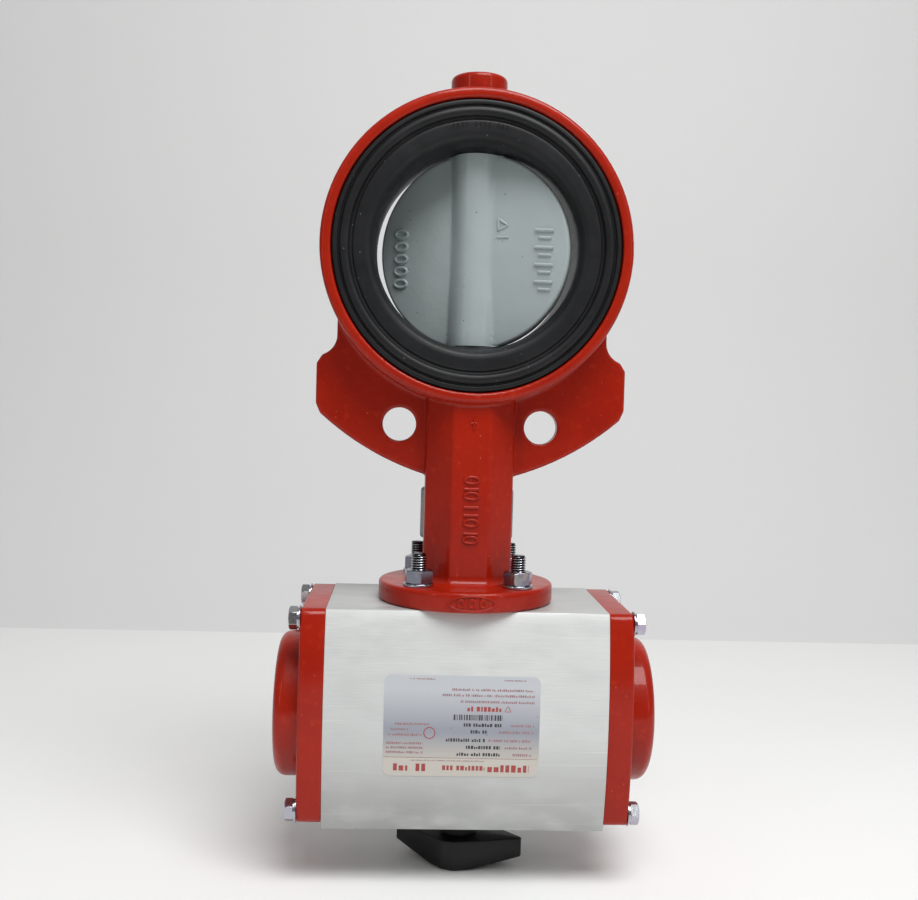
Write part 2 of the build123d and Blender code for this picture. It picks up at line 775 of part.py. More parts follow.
def ear_edge(side):
    """Outer edge of one locating ear, from the neck round to the ring, in (x, z)."""
    lower_z = mounting_face_z + 64.0
    corner = [
        (side * 77.2, mounting_face_z + 94.5), (side * 79.4, mounting_face_z + 99.5),
        (side * 79.4, mounting_face_z + 120.0), (side * 76.6, mounting_face_z + 124.4),
    ]
    with BuildLine() as edge:
        lower = ThreePointArc((side * 22.0, lower_z), (side * 51.0, mounting_face_z + 76.0), corner[0])
        Polyline(lower @ 1, *corner[1:])
        ThreePointArc(
            corner[-1], (side * 71.0, mounting_face_z + 128.6), (side * 69.3, mounting_face_z + 135.0)
        )
        Polyline((side * 69.3, mounting_face_z + 135.0), (side * 69.3, mounting_face_z + 150.0),
                 (0, mounting_face_z + 150.0), (0, lower_z), (side * 22.0, lower_z))
    return edge.line


with BuildPart() as valve_body:
    # mounting flange and neck
    with BuildSketch(level(mounting_face_z)):
        Circle(flange_r)
    extrude(amount=flange_t)
    fillet(valve_body.edges().filter_by(GeomType.CIRCLE), 1.6)
    with BuildSketch(level(mounting_face_z + flange_t - 2)) as neck:
        RegularPolygon(neck_af / 2, 8, major_radius=False, rotation=22.5)
        fillet(neck.vertices(), 2.0)
    extrude(amount=bore_centre_height - flange_t - 60)
    flange_middle = Vertex(0, 0, mounting_face_z + flange_t)
    foot = valve_body.edges().filter_by_position(
        Axis.Z, flange_middle.Z - 0.01, flange_middle.Z + 0.01
    )
    fillet(foot.filter_by(lambda e: e.distance_to(flange_middle) < flange_r - 10), neck_foot_r)
    # locating ears
    for side in (-1, 1):
        with BuildSketch(Plane.XZ.offset(-ear_half_t)):
            add(ear_edge(side))
            make_face()
        extrude(amount=2 * ear_half_t)
    # ring and top boss
    with BuildSketch(level(pipe_z)):
        Circle(boss_r)
    extrude(amount=boss_height)
    fillet(valve_body.faces().sort_by(Axis.Z)[-1].edges(), 2.2)
    with BuildSketch(Plane.YZ) as ring_section:
        with BuildLine():
            Polyline(
                (-ring_half_width, pipe_z + 50), (-ring_half_width, pipe_z + ring_r),
                (ring_half_width, pipe_z + ring_r), (ring_half_width, pipe_z + 50), close=True,
            )
        make_face()
        fillet(ring_section.vertices().group_by(Axis.Y)[-1], 2.4)
    revolve(axis=pipe_axis)
    # bore, seat pockets and the groove that locks the seat
    for half_width, pocket_r in ((80.0, ring_bore_r), (tongue_half, tongue_r)):
        with BuildSketch(Plane.XZ.offset(-half_width)):
            with Locations((0, pipe_z)):
                Circle(pocket_r)
        extrude(amount=2 * half_width, mode=Mode.SUBTRACT)
    for side in (-1, 1):
        with BuildSketch(Plane.XZ.offset(-side * ring_pocket_y)):
            with Locations((0, pipe_z)):
                Circle(seat_r + 0.5)
        extrude(amount=-side * 20, mode=Mode.SUBTRACT)
        mouth = valve_body.edges().filter_by(GeomType.CIRCLE).filter_by(
            lambda e: abs(e.radius - seat_r - 0.5) < 0.01
        ).filter_by(lambda e: abs(e.center().Y - side * ring_half_width) < 0.05)
        fillet(mouth, 1.2)
    # stem hole with its bush, seal and retainer seats, and the blind hole in the boss
    for low_z, high_z, hole_r in (
        (mounting_face_z, pipe_z - ring_bore_r + 2, stem_hole_r),
        (neck_bush_low_z, pipe_z - ring_bore_r + 2, 10.0),
        (mounting_face_z, mounting_face_z + flange_pocket_depth, flange_pocket_r),
        (pipe_z, boss_hole_end_z, 8.0),
    ):
        with BuildSketch(level(low_z)):
            Circle(hole_r)
        extrude(amount=high_z - low_z, mode=Mode.SUBTRACT)
    # stud holes and locating holes
    with BuildSketch(level(mounting_face_z)):
        with Locations(*stud_points):
            Circle(stud_clearance_r)
    extrude(amount=flange_t, mode=Mode.SUBTRACT)
    with BuildSketch(Plane.XZ.offset(-ear_half_t)):
        with Locations((-ear_hole_x, pipe_z - ear_hole_drop), (ear_hole_x, pipe_z - ear_hole_drop)):
            Circle(ear_hole_r)
    extrude(amount=2 * ear_half_t, mode=Mode.SUBTRACT)
save(valve_body.part, "valve_body")

# Rubber seat: lines the ring, with a beaded face on each side.
with BuildPart() as seat:
    with BuildSketch(Plane.YZ):
        with BuildLine():
            half_profile = [
                (0, seat_bore_r), (18.0, seat_bore_r), (22.6, 51.6), (24.6, 53.6), (25.2, 55.4),
                (25.4, 61.4), (24.4, 62.0), (24.8, 62.9), (26.6, 64.2), (27.0, 65.6), (26.4, 67.2),
                (25.0, 68.1), (24.9, 68.8), (25.7, 69.4), (25.4, 71.2), (24.6, seat_r),
                (ring_pocket_y, seat_r), (ring_pocket_y, ring_bore_r),
                (tongue_half, ring_bore_r), (tongue_half, tongue_r), (0, tongue_r),
            ]
            front = [(-y, pipe_z + r) for y, r in half_profile]
            back = [(y, pipe_z + r) for y, r in reversed(half_profile)]
            Polyline(*front, *back[1:-1], close=True)
        make_face()
    revolve(axis=pipe_axis)
    # flat lands around the stem holes
    for side in (-1, 1):
        with BuildSketch(level(pipe_z + side * (hub_flat + 0.35))):
            Circle(13.5)
        extrude(amount=side * 6)
    with BuildSketch(level(pipe_z)):
        Circle(stem_r + running_gap)
    extrude(amount=-80, mode=Mode.SUBTRACT)
    with BuildSketch(level(pipe_z)):
        Circle(stem_tip_r + running_gap)
    extrude(amount=80, mode=Mode.SUBTRACT)
save(seat.part, "seat")

# Bushes, seal and retainer along the stem.
save(place_all(make_ring(10.0, stem_r + running_gap, neck_bush_t), [level(neck_bush_low_z)]), "stem_bush")
save(place_all(make_ring(8.0, stem_tip_r + running_gap, 18.0), [level(pipe_z + 62.0)]), "boss_bush")
save(place_all(make_ring(10.0, stem_r + 0.08, stem_seal_t), [level(stem_seal_z)]), "stem_seal")
retainer_z = mounting_face_z + 1.2
save(place_all(make_ring(flange_pocket_r, 10.4, 1.4), [level(retainer_z)]), "stem_retaining_ring")
save(
    place_all(make_ring(flange_pocket_r, stem_r + 0.4, 1.6), [level(retainer_z + 1.4)]),
    "stem_thrust_washer",
)

# Name plate on the back of the neck, with its drive rivets.
plate_half_width = 25.0
plate_centre_x = 1.0
rivet_gap = 3.0                  # from the middle of the plate to each rivet
plate_low_z = mounting_face_z + 28.5
plate_height = 27.5
plate_t = 0.8
rivet_points = [
    (plate_centre_x + x, plate_low_z + height) for x in (-rivet_gap, rivet_gap)
    for height in (3.5, plate_height - 3.5)
]
with BuildPart() as name_plate:
    with BuildSketch(Plane.XZ.offset(-neck_af / 2)):
        with Locations((plate_centre_x, plate_low_z + plate_height / 2)):
            RectangleRounded(2 * plate_half_width, plate_height, 2.0)
        with Locations(*rivet_points):
            Circle(1.2, mode=Mode.SUBTRACT)
    extrude(amount=-plate_t)
save(name_plate.part, "name_plate")

with BuildPart() as name_plate_rivets:
    with BuildSketch(Plane.XZ.offset(-neck_af / 2)):
        with Locations(*rivet_points):
            Circle(1.2)
    extrude(amount=-plate_t)
    with BuildSketch(Plane.XZ.offset(-neck_af / 2 - plate_t)):
        with Locations(*rivet_points):
            Circle(2.2)
    extrude(amount=-0.9)
    fillet(name_plate_rivets.faces().sort_by(Axis.Y)[-1].edges(), 0.5)
save(name_plate_rivets.part, "name_plate_rivets")

# Studs, washers and nuts that clamp the valve flange to the actuator.
flange_top_z = mounting_face_z + flange_t
flange_washer_t = 1.6
flange_nut_h = 6.7
stud_proud = 8.0                 # beyond the nut
stud_depth = stud_hole_depth - 0.5
with BuildPart() as flange_stud:
    with BuildSketch(Plane.XY.offset(-stud_depth)):
        Circle(stud_r)
    extrude(amount=stud_depth + flange_t + flange_washer_t + flange_nut_h + stud_proud)
    chamfer(flange_stud.edges().filter_by(GeomType.CIRCLE), 0.8)
stud_planes = [Plane(origin=(x, y, mounting_face_z)) for x, y in stud_points]
washer_top_planes = [Plane(origin=(x, y, flange_top_z)) for x, y in stud_points]
nut_turns = (8, 25, 38, 12)
nut_planes = [
    Plane(
        origin=(x, y, flange_top_z + flange_washer_t),
        x_dir=(cos(radians(turn)), sin(radians(turn)), 0),
        z_dir=(0, 0, 1),
    )
    for (x, y), turn in zip(stud_points, nut_turns)
]
save(place_all(flange_stud.part, stud_planes), "flange_studs")
save(place_all(make_ring(7.6, 4.2, flange_washer_t), washer_top_planes), "flange_washers")
save(place_all(make_hex_nut(13.0, flange_nut_h, stud_r), nut_planes), "flange_nuts")

# ======================= valve: what turns =======================

# Stem: flatted drive end in the pinion, flats again inside the disc, slim tip in the boss.
stem_low_z = pinion_top_z - socket_depth + 1.0
c_ring_z = retainer_z + 3.2
c_ring_t = 2.4
with BuildPart() as stem:
    with BuildSketch(rotor_level(stem_low_z)):
        Circle(stem_r)
        Rectangle(40, 11, mode=Mode.INTERSECT)
    extrude(amount=socket_depth - 1.0)
    with BuildSketch(level(pinion_top_z)):
        Circle(stem_r)
    extrude(amount=pipe_z - hub_flat - pinion_top_z)
    with BuildSketch(rotor_level(pipe_z - hub_flat)):
        Circle(stem_r)
        Rectangle(40, 2 * stem_tip_r, mode=Mode.INTERSECT)
    extrude(amount=2 * hub_flat)
    with BuildSketch(level(pipe_z + hub_flat)):
        Circle(stem_tip_r)
    extrude(amount=boss_hole_end_z - 1.0 - pipe_z - hub_flat)
    chamfer(stem.faces().sort_by(Axis.Z)[-1].edges(), 0.8)
    with BuildSketch(level(c_ring_z)):
        Circle(stem_r + 2)
        Circle(6.6, mode=Mode.SUBTRACT)
    extrude(amount=c_ring_t, mode=Mode.SUBTRACT)
save(stem.part, "stem")

# Split C-rings in the stem groove, which hold the stem in the flange.
with BuildPart() as stem_c_rings:
    with BuildSketch(rotor_level(c_ring_z)):
        Circle(12.0)
        Circle(6.6, mode=Mode.SUBTRACT)
        Rectangle(1.0, 40, mode=Mode.SUBTRACT)
    extrude(amount=c_ring_t)
save(stem_c_rings.part, "stem_c_rings")

# Disc: a thin lens with a round hub along the stem.
hub_rib_r = 11.8
disc_rim_half = 3.4
disc_middle_half = 6.0
disc_plane = Plane(origin=(0, 0, pipe_z), x_dir=rotor_direction(0), z_dir=(0, 0, 1))
with BuildPart() as disc:
    with BuildSketch(disc_plane):
        with BuildLine():
            rim_round = 1.5
            lower = Spline(
                (0, -disc_middle_half), (24, -disc_middle_half + 0.4), (disc_r - rim_round, -disc_rim_half)
            )
            low_round = RadiusArc(lower @ 1, (disc_r, -disc_rim_half + rim_round), -rim_round)
            edge = Line(low_round @ 1, (disc_r, disc_rim_half - rim_round))
            high_round = RadiusArc(edge @ 1, (disc_r - rim_round, disc_rim_half), -rim_round)
            upper = Spline(high_round @ 1, (24, disc_middle_half - 0.4), (0, disc_middle_half))
            Line(upper @ 1, lower @ 0)
        make_face()
    revolve(axis=Axis((0, 0, pipe_z), rotor_direction(90)))
    with BuildSketch(rotor_level(pipe_z - hub_flat)):
        Circle(hub_rib_r)
    extrude(amount=2 * hub_flat)
    # the rim is cut flat where the hub meets the seat
    for side in (-1, 1):
        with BuildSketch(rotor_level(pipe_z + side * hub_flat)):
            Circle(16)
        extrude(amount=side * 8, mode=Mode.SUBTRACT)
    with BuildSketch(rotor_level(pipe_z - hub_flat)):
        Circle(stem_r)
        Rectangle(40, 2 * stem_tip_r, mode=Mode.INTERSECT)
    extrude(amount=2 * hub_flat, mode=Mode.SUBTRACT)
save(disc.part, "disc")
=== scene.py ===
"""Looks of the pneumatic actuator with its wafer butterfly valve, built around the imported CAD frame.

Units are metres in the row frame: Z up along the stem, Y the flow direction, X along the pistons.
The label side faces -Y. Sizes that a piece shares with its CAD node are read from the frame.
"""
import json
import math
import random

import bmesh
import bpy
from mathutils import Matrix, Vector


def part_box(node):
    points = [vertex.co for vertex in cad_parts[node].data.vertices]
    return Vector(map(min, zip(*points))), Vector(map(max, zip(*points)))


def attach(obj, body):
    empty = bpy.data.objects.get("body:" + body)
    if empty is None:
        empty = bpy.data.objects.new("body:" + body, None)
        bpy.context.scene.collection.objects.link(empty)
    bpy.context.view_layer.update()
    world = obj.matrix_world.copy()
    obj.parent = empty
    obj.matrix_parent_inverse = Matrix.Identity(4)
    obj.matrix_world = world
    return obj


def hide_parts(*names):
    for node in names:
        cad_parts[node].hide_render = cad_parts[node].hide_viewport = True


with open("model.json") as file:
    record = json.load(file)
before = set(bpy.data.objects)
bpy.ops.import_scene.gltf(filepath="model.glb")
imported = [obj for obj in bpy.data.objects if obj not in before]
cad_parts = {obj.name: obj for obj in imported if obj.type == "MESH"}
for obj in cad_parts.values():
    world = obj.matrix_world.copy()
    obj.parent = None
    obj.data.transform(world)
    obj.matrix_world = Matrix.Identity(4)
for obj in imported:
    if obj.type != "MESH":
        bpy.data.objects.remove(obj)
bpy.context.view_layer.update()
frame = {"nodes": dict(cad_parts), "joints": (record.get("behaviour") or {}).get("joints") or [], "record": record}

MM = 0.001
nodes = frame["nodes"]
body_low, body_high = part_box("actuator_body")
seat_low, seat_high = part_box("seat")
disc_low, disc_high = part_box("disc")
washer_low, washer_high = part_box("flange_washers")
stud_low, stud_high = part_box("flange_studs")

mount_z = body_high.z
body_middle_z = (body_high.z + body_low.z) / 2
pipe_z = (seat_low.z + seat_high.z) / 2
flange_top_z = washer_low.z
rotor_joint = next(j for j in frame["joints"] if j["name"] == "rotor_turn")
disc_turn = -math.radians(rotor_joint["range_deg"][1])
along_disc = Vector((math.cos(disc_turn), math.sin(disc_turn), 0))
across_disc = Vector((-math.sin(disc_turn), math.cos(disc_turn), 0))
up = Vector((0, 0, 1))
stud_circle = 35.0 * MM
stud_pitch = 1.25 * MM
stud_r = 4.0 * MM


# ======================= materials =======================


class Finish:
    """A procedural material: the principled shader, and short ways to drive its sockets."""

    def __init__(self, name, color, roughness, **sockets):
        self.material = bpy.data.materials.new(name)
        self.material.use_nodes = True
        self.tree = self.material.node_tree
        self.shader = self.tree.nodes["Principled BSDF"]
        self.place = self.add("ShaderNodeTexCoord").outputs["Object"]
        self.height = None
        self.shader.inputs["Base Color"].default_value = (*color, 1)
        self.shader.inputs["Roughness"].default_value = roughness
        for socket, value in sockets.items():
            self.shader.inputs[socket.replace("_", " ")].default_value = value

    def add(self, kind, **values):
        node = self.tree.nodes.new(kind)
        for name, value in values.items():
            setattr(node, name, value)
        return node

    def link(self, source, target):
        self.tree.links.new(source, target)

    def noise(self, scale, stretch=(1, 1, 1), detail=3.0, contrast=(0.0, 1.0)):
        """Noise with a feature size of about 1/scale metres, longer where stretch is below 1."""
        mapping = self.add("ShaderNodeMapping")
        mapping.inputs["Scale"].default_value = stretch
        texture = self.add("ShaderNodeTexNoise")
        texture.inputs["Scale"].default_value = scale
        texture.inputs["Detail"].default_value = detail
        self.link(self.place, mapping.inputs["Vector"])
        self.link(mapping.outputs["Vector"], texture.inputs["Vector"])
        return self.range(texture.outputs["Fac"], contrast)

    def spots(self, scale, radius):
        """Small round spots, one or none in each cell of 1/scale metres."""
        cells = self.add("ShaderNodeTexVoronoi")
        cells.inputs["Scale"].default_value = scale
        self.link(self.place, cells.inputs["Vector"])
        near = self.range(cells.outputs["Distance"], (radius, radius * 0.5))
        separate = self.add("ShaderNodeSeparateColor")
        self.link(cells.outputs["Color"], separate.inputs["Color"])
        some = self.range(separate.outputs["Red"], (0.72, 0.78))
        return self.math("MULTIPLY", near, some)

    def range(self, value, span):
        """The value with span[0] brought to 0 and span[1] to 1, clamped."""
        if span == (0.0, 1.0):
            return value
        node = self.add("ShaderNodeMapRange")
        node.inputs["From Min"].default_value, node.inputs["From Max"].default_value = span
        self.link(value, node.inputs["Value"])
        return node.outputs["Result"]

    def axis(self, name, span):
        """How far a point is between two heights on one row axis, from 0 to 1."""
        separate = self.add("ShaderNodeSeparateXYZ")
        self.link(self.place, separate.inputs["Vector"])
        return self.range(separate.outputs[name], span)

    def math(self, operation, a, b):
        node = self.add("ShaderNodeMath", operation=operation)
        for socket, value in zip(node.inputs, (a, b)):
            if isinstance(value, (int, float)):
                socket.default_value = value
            else:
                self.link(value, socket)
        return node.outputs["Value"]

    def paint(self, factor, color):
        """Mixes another colour over what the base colour is so far."""
        mix = self.add("ShaderNodeMix", data_type="RGBA")
        base = self.shader.inputs["Base Color"]
        if base.is_linked:
            self.link(base.links[0].from_socket, mix.inputs["A"])
        else:
            mix.inputs["A"].default_value = base.default_value
        mix.inputs["B"].default_value = (*color, 1)
        self.link(factor, mix.inputs["Factor"])
        self.link(mix.outputs["Result"], base)

    def roughen(self, factor, low, high):
        node = self.add("ShaderNodeMapRange")
        node.inputs["To Min"].default_value, node.inputs["To Max"].default_value = low, high
        self.link(factor, node.inputs["Value"])
        self.link(node.outputs["Result"], self.shader.inputs["Roughness"])

    def relief(self, factor, depth):
        """Adds surface relief of about that depth in metres."""
        bump = self.add("ShaderNodeBump")
        bump.inputs["Distance"].default_value = depth
        self.link(factor, bump.inputs["Height"])
        if self.height is not None:
            self.link(self.height, bump.inputs["Normal"])
        self.height = bump.outputs["Normal"]
        self.link(self.height, self.shader.inputs["Normal"])


def make_enamel():
    """Glossy red-orange enamel over a fine cast skin."""
    paint = Finish(
        "red_enamel_paint", (0.355, 0.0118, 0.0010), 0.28,
        Specular_IOR_Level=0.14, Coat_Weight=0.30, Coat_Roughness=0.05,
    )
    paint.paint(paint.noise(38, detail=4, contrast=(0.35, 0.75)), (0.295, 0.0085, 0.0010))
    paint.paint(paint.noise(260, detail=4, contrast=(0.58, 0.82)), (0.43, 0.0210, 0.004))
    # pale pink flecks, both as small chips in the paint and as painted glints
    paint.paint(paint.math("MULTIPLY", paint.spots(190, 0.10), 0.5), (0.62, 0.14, 0.09))
    paint.roughen(paint.noise(120, detail=3), 0.26, 0.44)
    paint.relief(paint.noise(170, detail=2), 0.00024)
    paint.relief(paint.noise(640, detail=3), 0.00008)
    return paint.material


def make_brushed_aluminium():
    """Clear-anodised extrusion with a fine brushed grain along X and soft clouds, over painted light and shade:
    darker towards the bottom, lighter towards the top, and a darker top face.
    """
    metal = Finish("brushed_aluminium_metal", (0.74, 0.755, 0.75), 0.42, Metallic=0.30)
    # painted shade: the colour darkens from the middle of the body down to its bottom
    metal.paint(metal.axis("Z", (body_middle_z, body_low.z)), (0.27, 0.275, 0.265))
    # painted light: the colour brightens from the middle of the body up to its top
    metal.paint(metal.axis("Z", (body_middle_z, body_high.z)), (0.86, 0.875, 0.86))
    # painted shade: the top face is painted darker than the lit front below it
    metal.paint(metal.axis("Z", (mount_z - 0.5 * MM, mount_z - 0.2 * MM)), (0.47, 0.48, 0.47))
    cloud_colour = (0.60, 0.615, 0.61)
    large_clouds = metal.noise(24, (0.5, 1, 1), 3, (0.35, 0.7))
    metal.paint(metal.math("MULTIPLY", large_clouds, 0.5), cloud_colour)
    small_clouds = metal.noise(110, (0.45, 1, 1), 4, (0.45, 0.8))
    metal.paint(metal.math("MULTIPLY", small_clouds, 0.6), cloud_colour)
    brush = metal.noise(2400, (0.03, 1, 1), 3, (0.25, 0.75))
    metal.paint(metal.math("MULTIPLY", brush, 0.30), (0.50, 0.51, 0.505))
    scratches = metal.noise(900, (0.012, 1, 1), 2, (0.64, 0.80))
    metal.paint(metal.math("MULTIPLY", scratches, 0.45), (0.90, 0.91, 0.905))
    metal.roughen(brush, 0.34, 0.52)
    metal.relief(brush, 0.00003)
    return metal.material


def make_zinc(name="zinc_plate_metal", tint=(0.46, 0.48, 0.52), blush=(0.42, 0.33, 0.47)):
    """Bright zinc plate with the faint rainbow of its passivation."""
    zinc = Finish(name, tint, 0.2, Metallic=1.0)
    zinc.paint(zinc.noise(120, detail=2, contrast=(0.45, 0.75)), blush)
    zinc.paint(zinc.noise(150, (1, 1.3, 0.8), 2, (0.55, 0.80)), (0.50, 0.46, 0.36))
    zinc.roughen(zinc.noise(900, detail=3), 0.12, 0.32)
    zinc.relief(zinc.noise(1500, detail=2), 0.00002)
    return zinc.material


def make_thread_zinc():
    """Zinc-plated thread with painted shade in its grooves; the four studs fold onto one axis."""
    zinc = Finish("zinc_plate_thread", (0.62, 0.64, 0.68), 0.16, Metallic=1.0)
    split = zinc.add("ShaderNodeSeparateXYZ")
    zinc.link(zinc.place, split.inputs["Vector"])
    centre = stud_circle * math.cos(math.pi / 4)
    squares = []
    for axis in ("X", "Y"):
        offset = zinc.math("SUBTRACT", zinc.math("ABSOLUTE", split.outputs[axis], 0), centre)
        squares.append(zinc.math("MULTIPLY", offset, offset))
    from_axis = zinc.math("SQRT", zinc.math("ADD", *squares), 0)
    # painted shade: the colour goes dark towards the bottom of the thread grooves, where shade falls
    zinc.paint(zinc.range(from_axis, (stud_r - 0.15 * MM, stud_r - 0.55 * MM)), (0.025, 0.025, 0.03))
    zinc.roughen(zinc.noise(900, detail=2), 0.12, 0.24)
    return zinc.material


def make_seat_rubber():
    """Moulded EPDM rubber with mould grain and light dust."""
    rubber = Finish("seat_rubber_moulded", (0.0055, 0.0058, 0.0068), 0.38, Specular_IOR_Level=0.3)
    rubber.paint(rubber.noise(60, detail=4, contrast=(0.35, 0.8)), (0.012, 0.0125, 0.014))
    rubber.paint(rubber.math("MULTIPLY", rubber.spots(260, 0.11), 0.45), (0.24, 0.25, 0.26))
    rubber.roughen(rubber.noise(300, detail=3), 0.36, 0.56)
    rubber.relief(rubber.noise(1400, detail=2), 0.00004)
    return rubber.material


def make_small_rubber():
    rubber = Finish("oring_rubber", (0.011, 0.011, 0.012), 0.4)
    rubber.paint(rubber.noise(400, detail=2, contrast=(0.4, 0.8)), (0.02, 0.02, 0.021))
    rubber.relief(rubber.noise(2400, detail=2), 0.00002)
    return rubber.material


def make_nylon():
    """Thick glossy nylon coat, grey with a touch of green and blue."""
    coat = Finish("grey_nylon_coat", (0.345, 0.398, 0.398), 0.34, Coat_Weight=0.14, Coat_Roughness=0.06)
    coat.paint(coat.noise(55, detail=3, contrast=(0.35, 0.75)), (0.33, 0.38, 0.383))
    coat.paint(coat.spots(210, 0.09), (0.06, 0.07, 0.07))
    coat.roughen(coat.noise(150, detail=2), 0.26, 0.40)
    coat.relief(coat.noise(130, detail=2), 0.00022)
    coat.relief(coat.noise(520, detail=2), 0.00004)
    return coat.material


def make_black_plastic():
    plastic = Finish("black_plastic_moulded", (0.0060, 0.0060, 0.0066), 0.42, Specular_IOR_Level=0.3)
    plastic.paint(plastic.noise(90, detail=3, contrast=(0.4, 0.8)), (0.0095, 0.0095, 0.010))
    plastic.roughen(plastic.noise(500, detail=3), 0.34, 0.52)
    plastic.relief(plastic.noise(1900, detail=3), 0.00003)
    return plastic.material


def make_label_film():
    """Polyester label: a blue-grey field that darkens in its middle, over a cream band."""
    low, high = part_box("name_label")
    height = high.z - low.z
    film = Finish("label_film", (0.52, 0.545, 0.575), 0.3, Coat_Weight=0.25, Coat_Roughness=0.2)
    toward_middle = film.axis("Z", (low.z + 0.86 * height, low.z + 0.48 * height))
    film.paint(toward_middle, (0.30, 0.315, 0.365))
    film.paint(film.axis("Z", (low.z + 0.44 * height, low.z + 0.22 * height)), (0.50, 0.475, 0.44))
    film.paint(film.axis("Z", (low.z + 0.196 * height, low.z + 0.188 * height)), (0.565, 0.535, 0.485))
    film.roughen(film.noise(240, detail=2), 0.24, 0.36)
    film.relief(film.noise(160, detail=2), 0.00003)
    return film.material


def make_ink(name, color):
    ink = Finish(name, color, 0.4)
    ink.paint(ink.noise(1200, detail=2, contrast=(0.45, 0.8)), tuple(min(1.0, c * 1.5 + 0.03) for c in color))
    return ink.material


def make_plain_metal(name, color, roughness, grain=300):
    metal = Finish(name, color, roughness, Metallic=1.0)
    metal.paint(metal.noise(grain / 3, detail=3, contrast=(0.4, 0.8)), tuple(c * 0.78 for c in color))
    metal.roughen(metal.noise(grain, detail=3), roughness * 0.75, roughness * 1.3)
    metal.relief(metal.noise(grain * 4, detail=2), 0.00002)
    return metal.material


def make_acetal():
    plastic = Finish("white_acetal_plastic", (0.78, 0.77, 0.73), 0.35)
    plastic.paint(plastic.noise(200, detail=2, contrast=(0.4, 0.8)), (0.70, 0.69, 0.65))
    plastic.relief(plastic.noise(1600, detail=2), 0.00002)
    return plastic.material


def make_stamped_plate():
    """Thin stainless plate with a cross-brushed face."""
    plate = Finish("stamped_plate_metal", (0.40, 0.40, 0.40), 0.35, Metallic=1.0)
    plate.paint(plate.noise(1700, (0.03, 1, 1), 2, (0.35, 0.75)), (0.31, 0.31, 0.32))
    plate.roughen(plate.noise(300, detail=3), 0.28, 0.46)
    plate.relief(plate.noise(1700, (0.03, 1, 1), 2), 0.00002)
    return plate.material


finishes = {
    "red_enamel": make_enamel(),
    "brushed_aluminium": make_brushed_aluminium(),
    "zinc_plate": make_zinc(),
    "seat_rubber": make_seat_rubber(),
    "black_rubber": make_small_rubber(),
    "grey_nylon": make_nylon(),
    "black_plastic": make_black_plastic(),
    "label_print": make_label_film(),
    "white_acetal": make_acetal(),
    "bare_steel": make_plain_metal("bare_steel_metal", (0.50, 0.49, 0.47), 0.32),
    "brass": make_plain_metal("brass_metal", (0.72, 0.52, 0.22), 0.3),
    "cast_aluminium": make_plain_metal("cast_aluminium_metal", (0.62, 0.62, 0.61), 0.45, 220),
    "stamped_plate": make_stamped_plate(),
}
thread_zinc = make_thread_zinc()
nut_zinc = make_zinc("zinc_plate_blue_passivated", (0.25, 0.26, 0.31), (0.30, 0.19, 0.29))
slot_of_node = {part["node"]: part["material_slot"] for part in frame["record"]["subparts"]}
body_of_node = {
    node: body for body, members in frame["record"]["behaviour"]["bodies"].items() for node in members
}


# ======================= mesh helpers =======================


def add_piece(name, vertices, faces, body, slot, replaces=(), material=None, sharp_deg=35):
    """A new piece from vertices and faces in the row frame, riding on a body."""
    mesh = bpy.data.meshes.new(name)
    mesh.from_pydata([tuple(v) for v in vertices], [], faces)
    return add_mesh(name, mesh, body, slot, replaces, material, sharp_deg)


def add_mesh(name, mesh, body, slot, replaces=(), material=None, sharp_deg=35):
    """Links a finished mesh as a piece with outward normals and smooth shading between sharp edges."""
    bm = bmesh.new()
    bm.from_mesh(mesh)
    bmesh.ops.recalc_face_normals(bm, faces=bm.faces)
    bm.to_mesh(mesh)
    bm.free()
    mesh.materials.clear()
    mesh.materials.append(material or finishes[slot])
    mesh.shade_smooth()
    mesh.set_sharp_from_angle(angle=math.radians(sharp_deg))
    piece = bpy.data.objects.new(name, mesh)
    bpy.context.scene.collection.objects.link(piece)
    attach(piece, body)
    if replaces:
        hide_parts(*replaces)
    return piece


def rings_to_faces(count, steps, closed_rings, first=0):
    """Quads between consecutive rings of steps points; closed_rings joins the last to the first."""
    faces = []
    for ring in range(count if closed_rings else count - 1):
        a, b = first + ring * steps, first + (ring + 1) % count * steps
        for k in range(steps):
            n = (k + 1) % steps
            faces.append((a + k, a + n, b + n, b + k))
    return faces


def round_corners(points, times):
    """A closed outline with its corners cut again and again, which rounds them."""
    for _ in range(times):
        cut = []
        for a, b in zip(points, points[1:] + points[:1]):
            cut.append((a[0] * 0.8 + b[0] * 0.2, a[1] * 0.8 + b[1] * 0.2))
            cut.append((a[0] * 0.2 + b[0] * 0.8, a[1] * 0.2 + b[1] * 0.8))
        points = cut
    return points


def smooth_step(value, start, end):
    t = max(0.0, min(1.0, (value - start) / (end - start)))
    return t * t * (3 - 2 * t)


def smooth_max(a, b, width):
    """The larger of two heights, with a fillet of about that width where they meet."""
    t = max(width - abs(a - b), 0.0) / width
    return max(a, b) + t * t * width / 4


def refine(node, new_name, width, segments=2, edge_deg=28):
    """A copy of a CAD node with its sharp edges broken, in place of the node."""
    mesh = nodes[node].data.copy()
    bm = bmesh.new()
    bm.from_mesh(mesh)
    bmesh.ops.remove_doubles(bm, verts=bm.verts, dist=1e-6)
    bmesh.ops.dissolve_limit(
        bm, angle_limit=math.radians(0.4), verts=bm.verts, edges=bm.edges, use_dissolve_boundaries=False
    )
    sharp = [
        e for e in bm.edges
        if len(e.link_faces) == 2 and e.calc_face_angle() > math.radians(edge_deg)
    ]
    bmesh.ops.bevel(
        bm, geom=sharp, offset=width, segments=segments, profile=0.5, affect="EDGES", clamp_overlap=False
    )
    bmesh.ops.triangulate(bm, faces=[f for f in bm.faces if len(f.verts) > 4])
    bmesh.ops.remove_doubles(bm, verts=bm.verts, dist=1e-6)
    bm.to_mesh(mesh)
    bm.free()
    mesh.name = new_name
    return add_mesh(new_name, mesh, body_of_node[node], slot_of_node[node], [node])


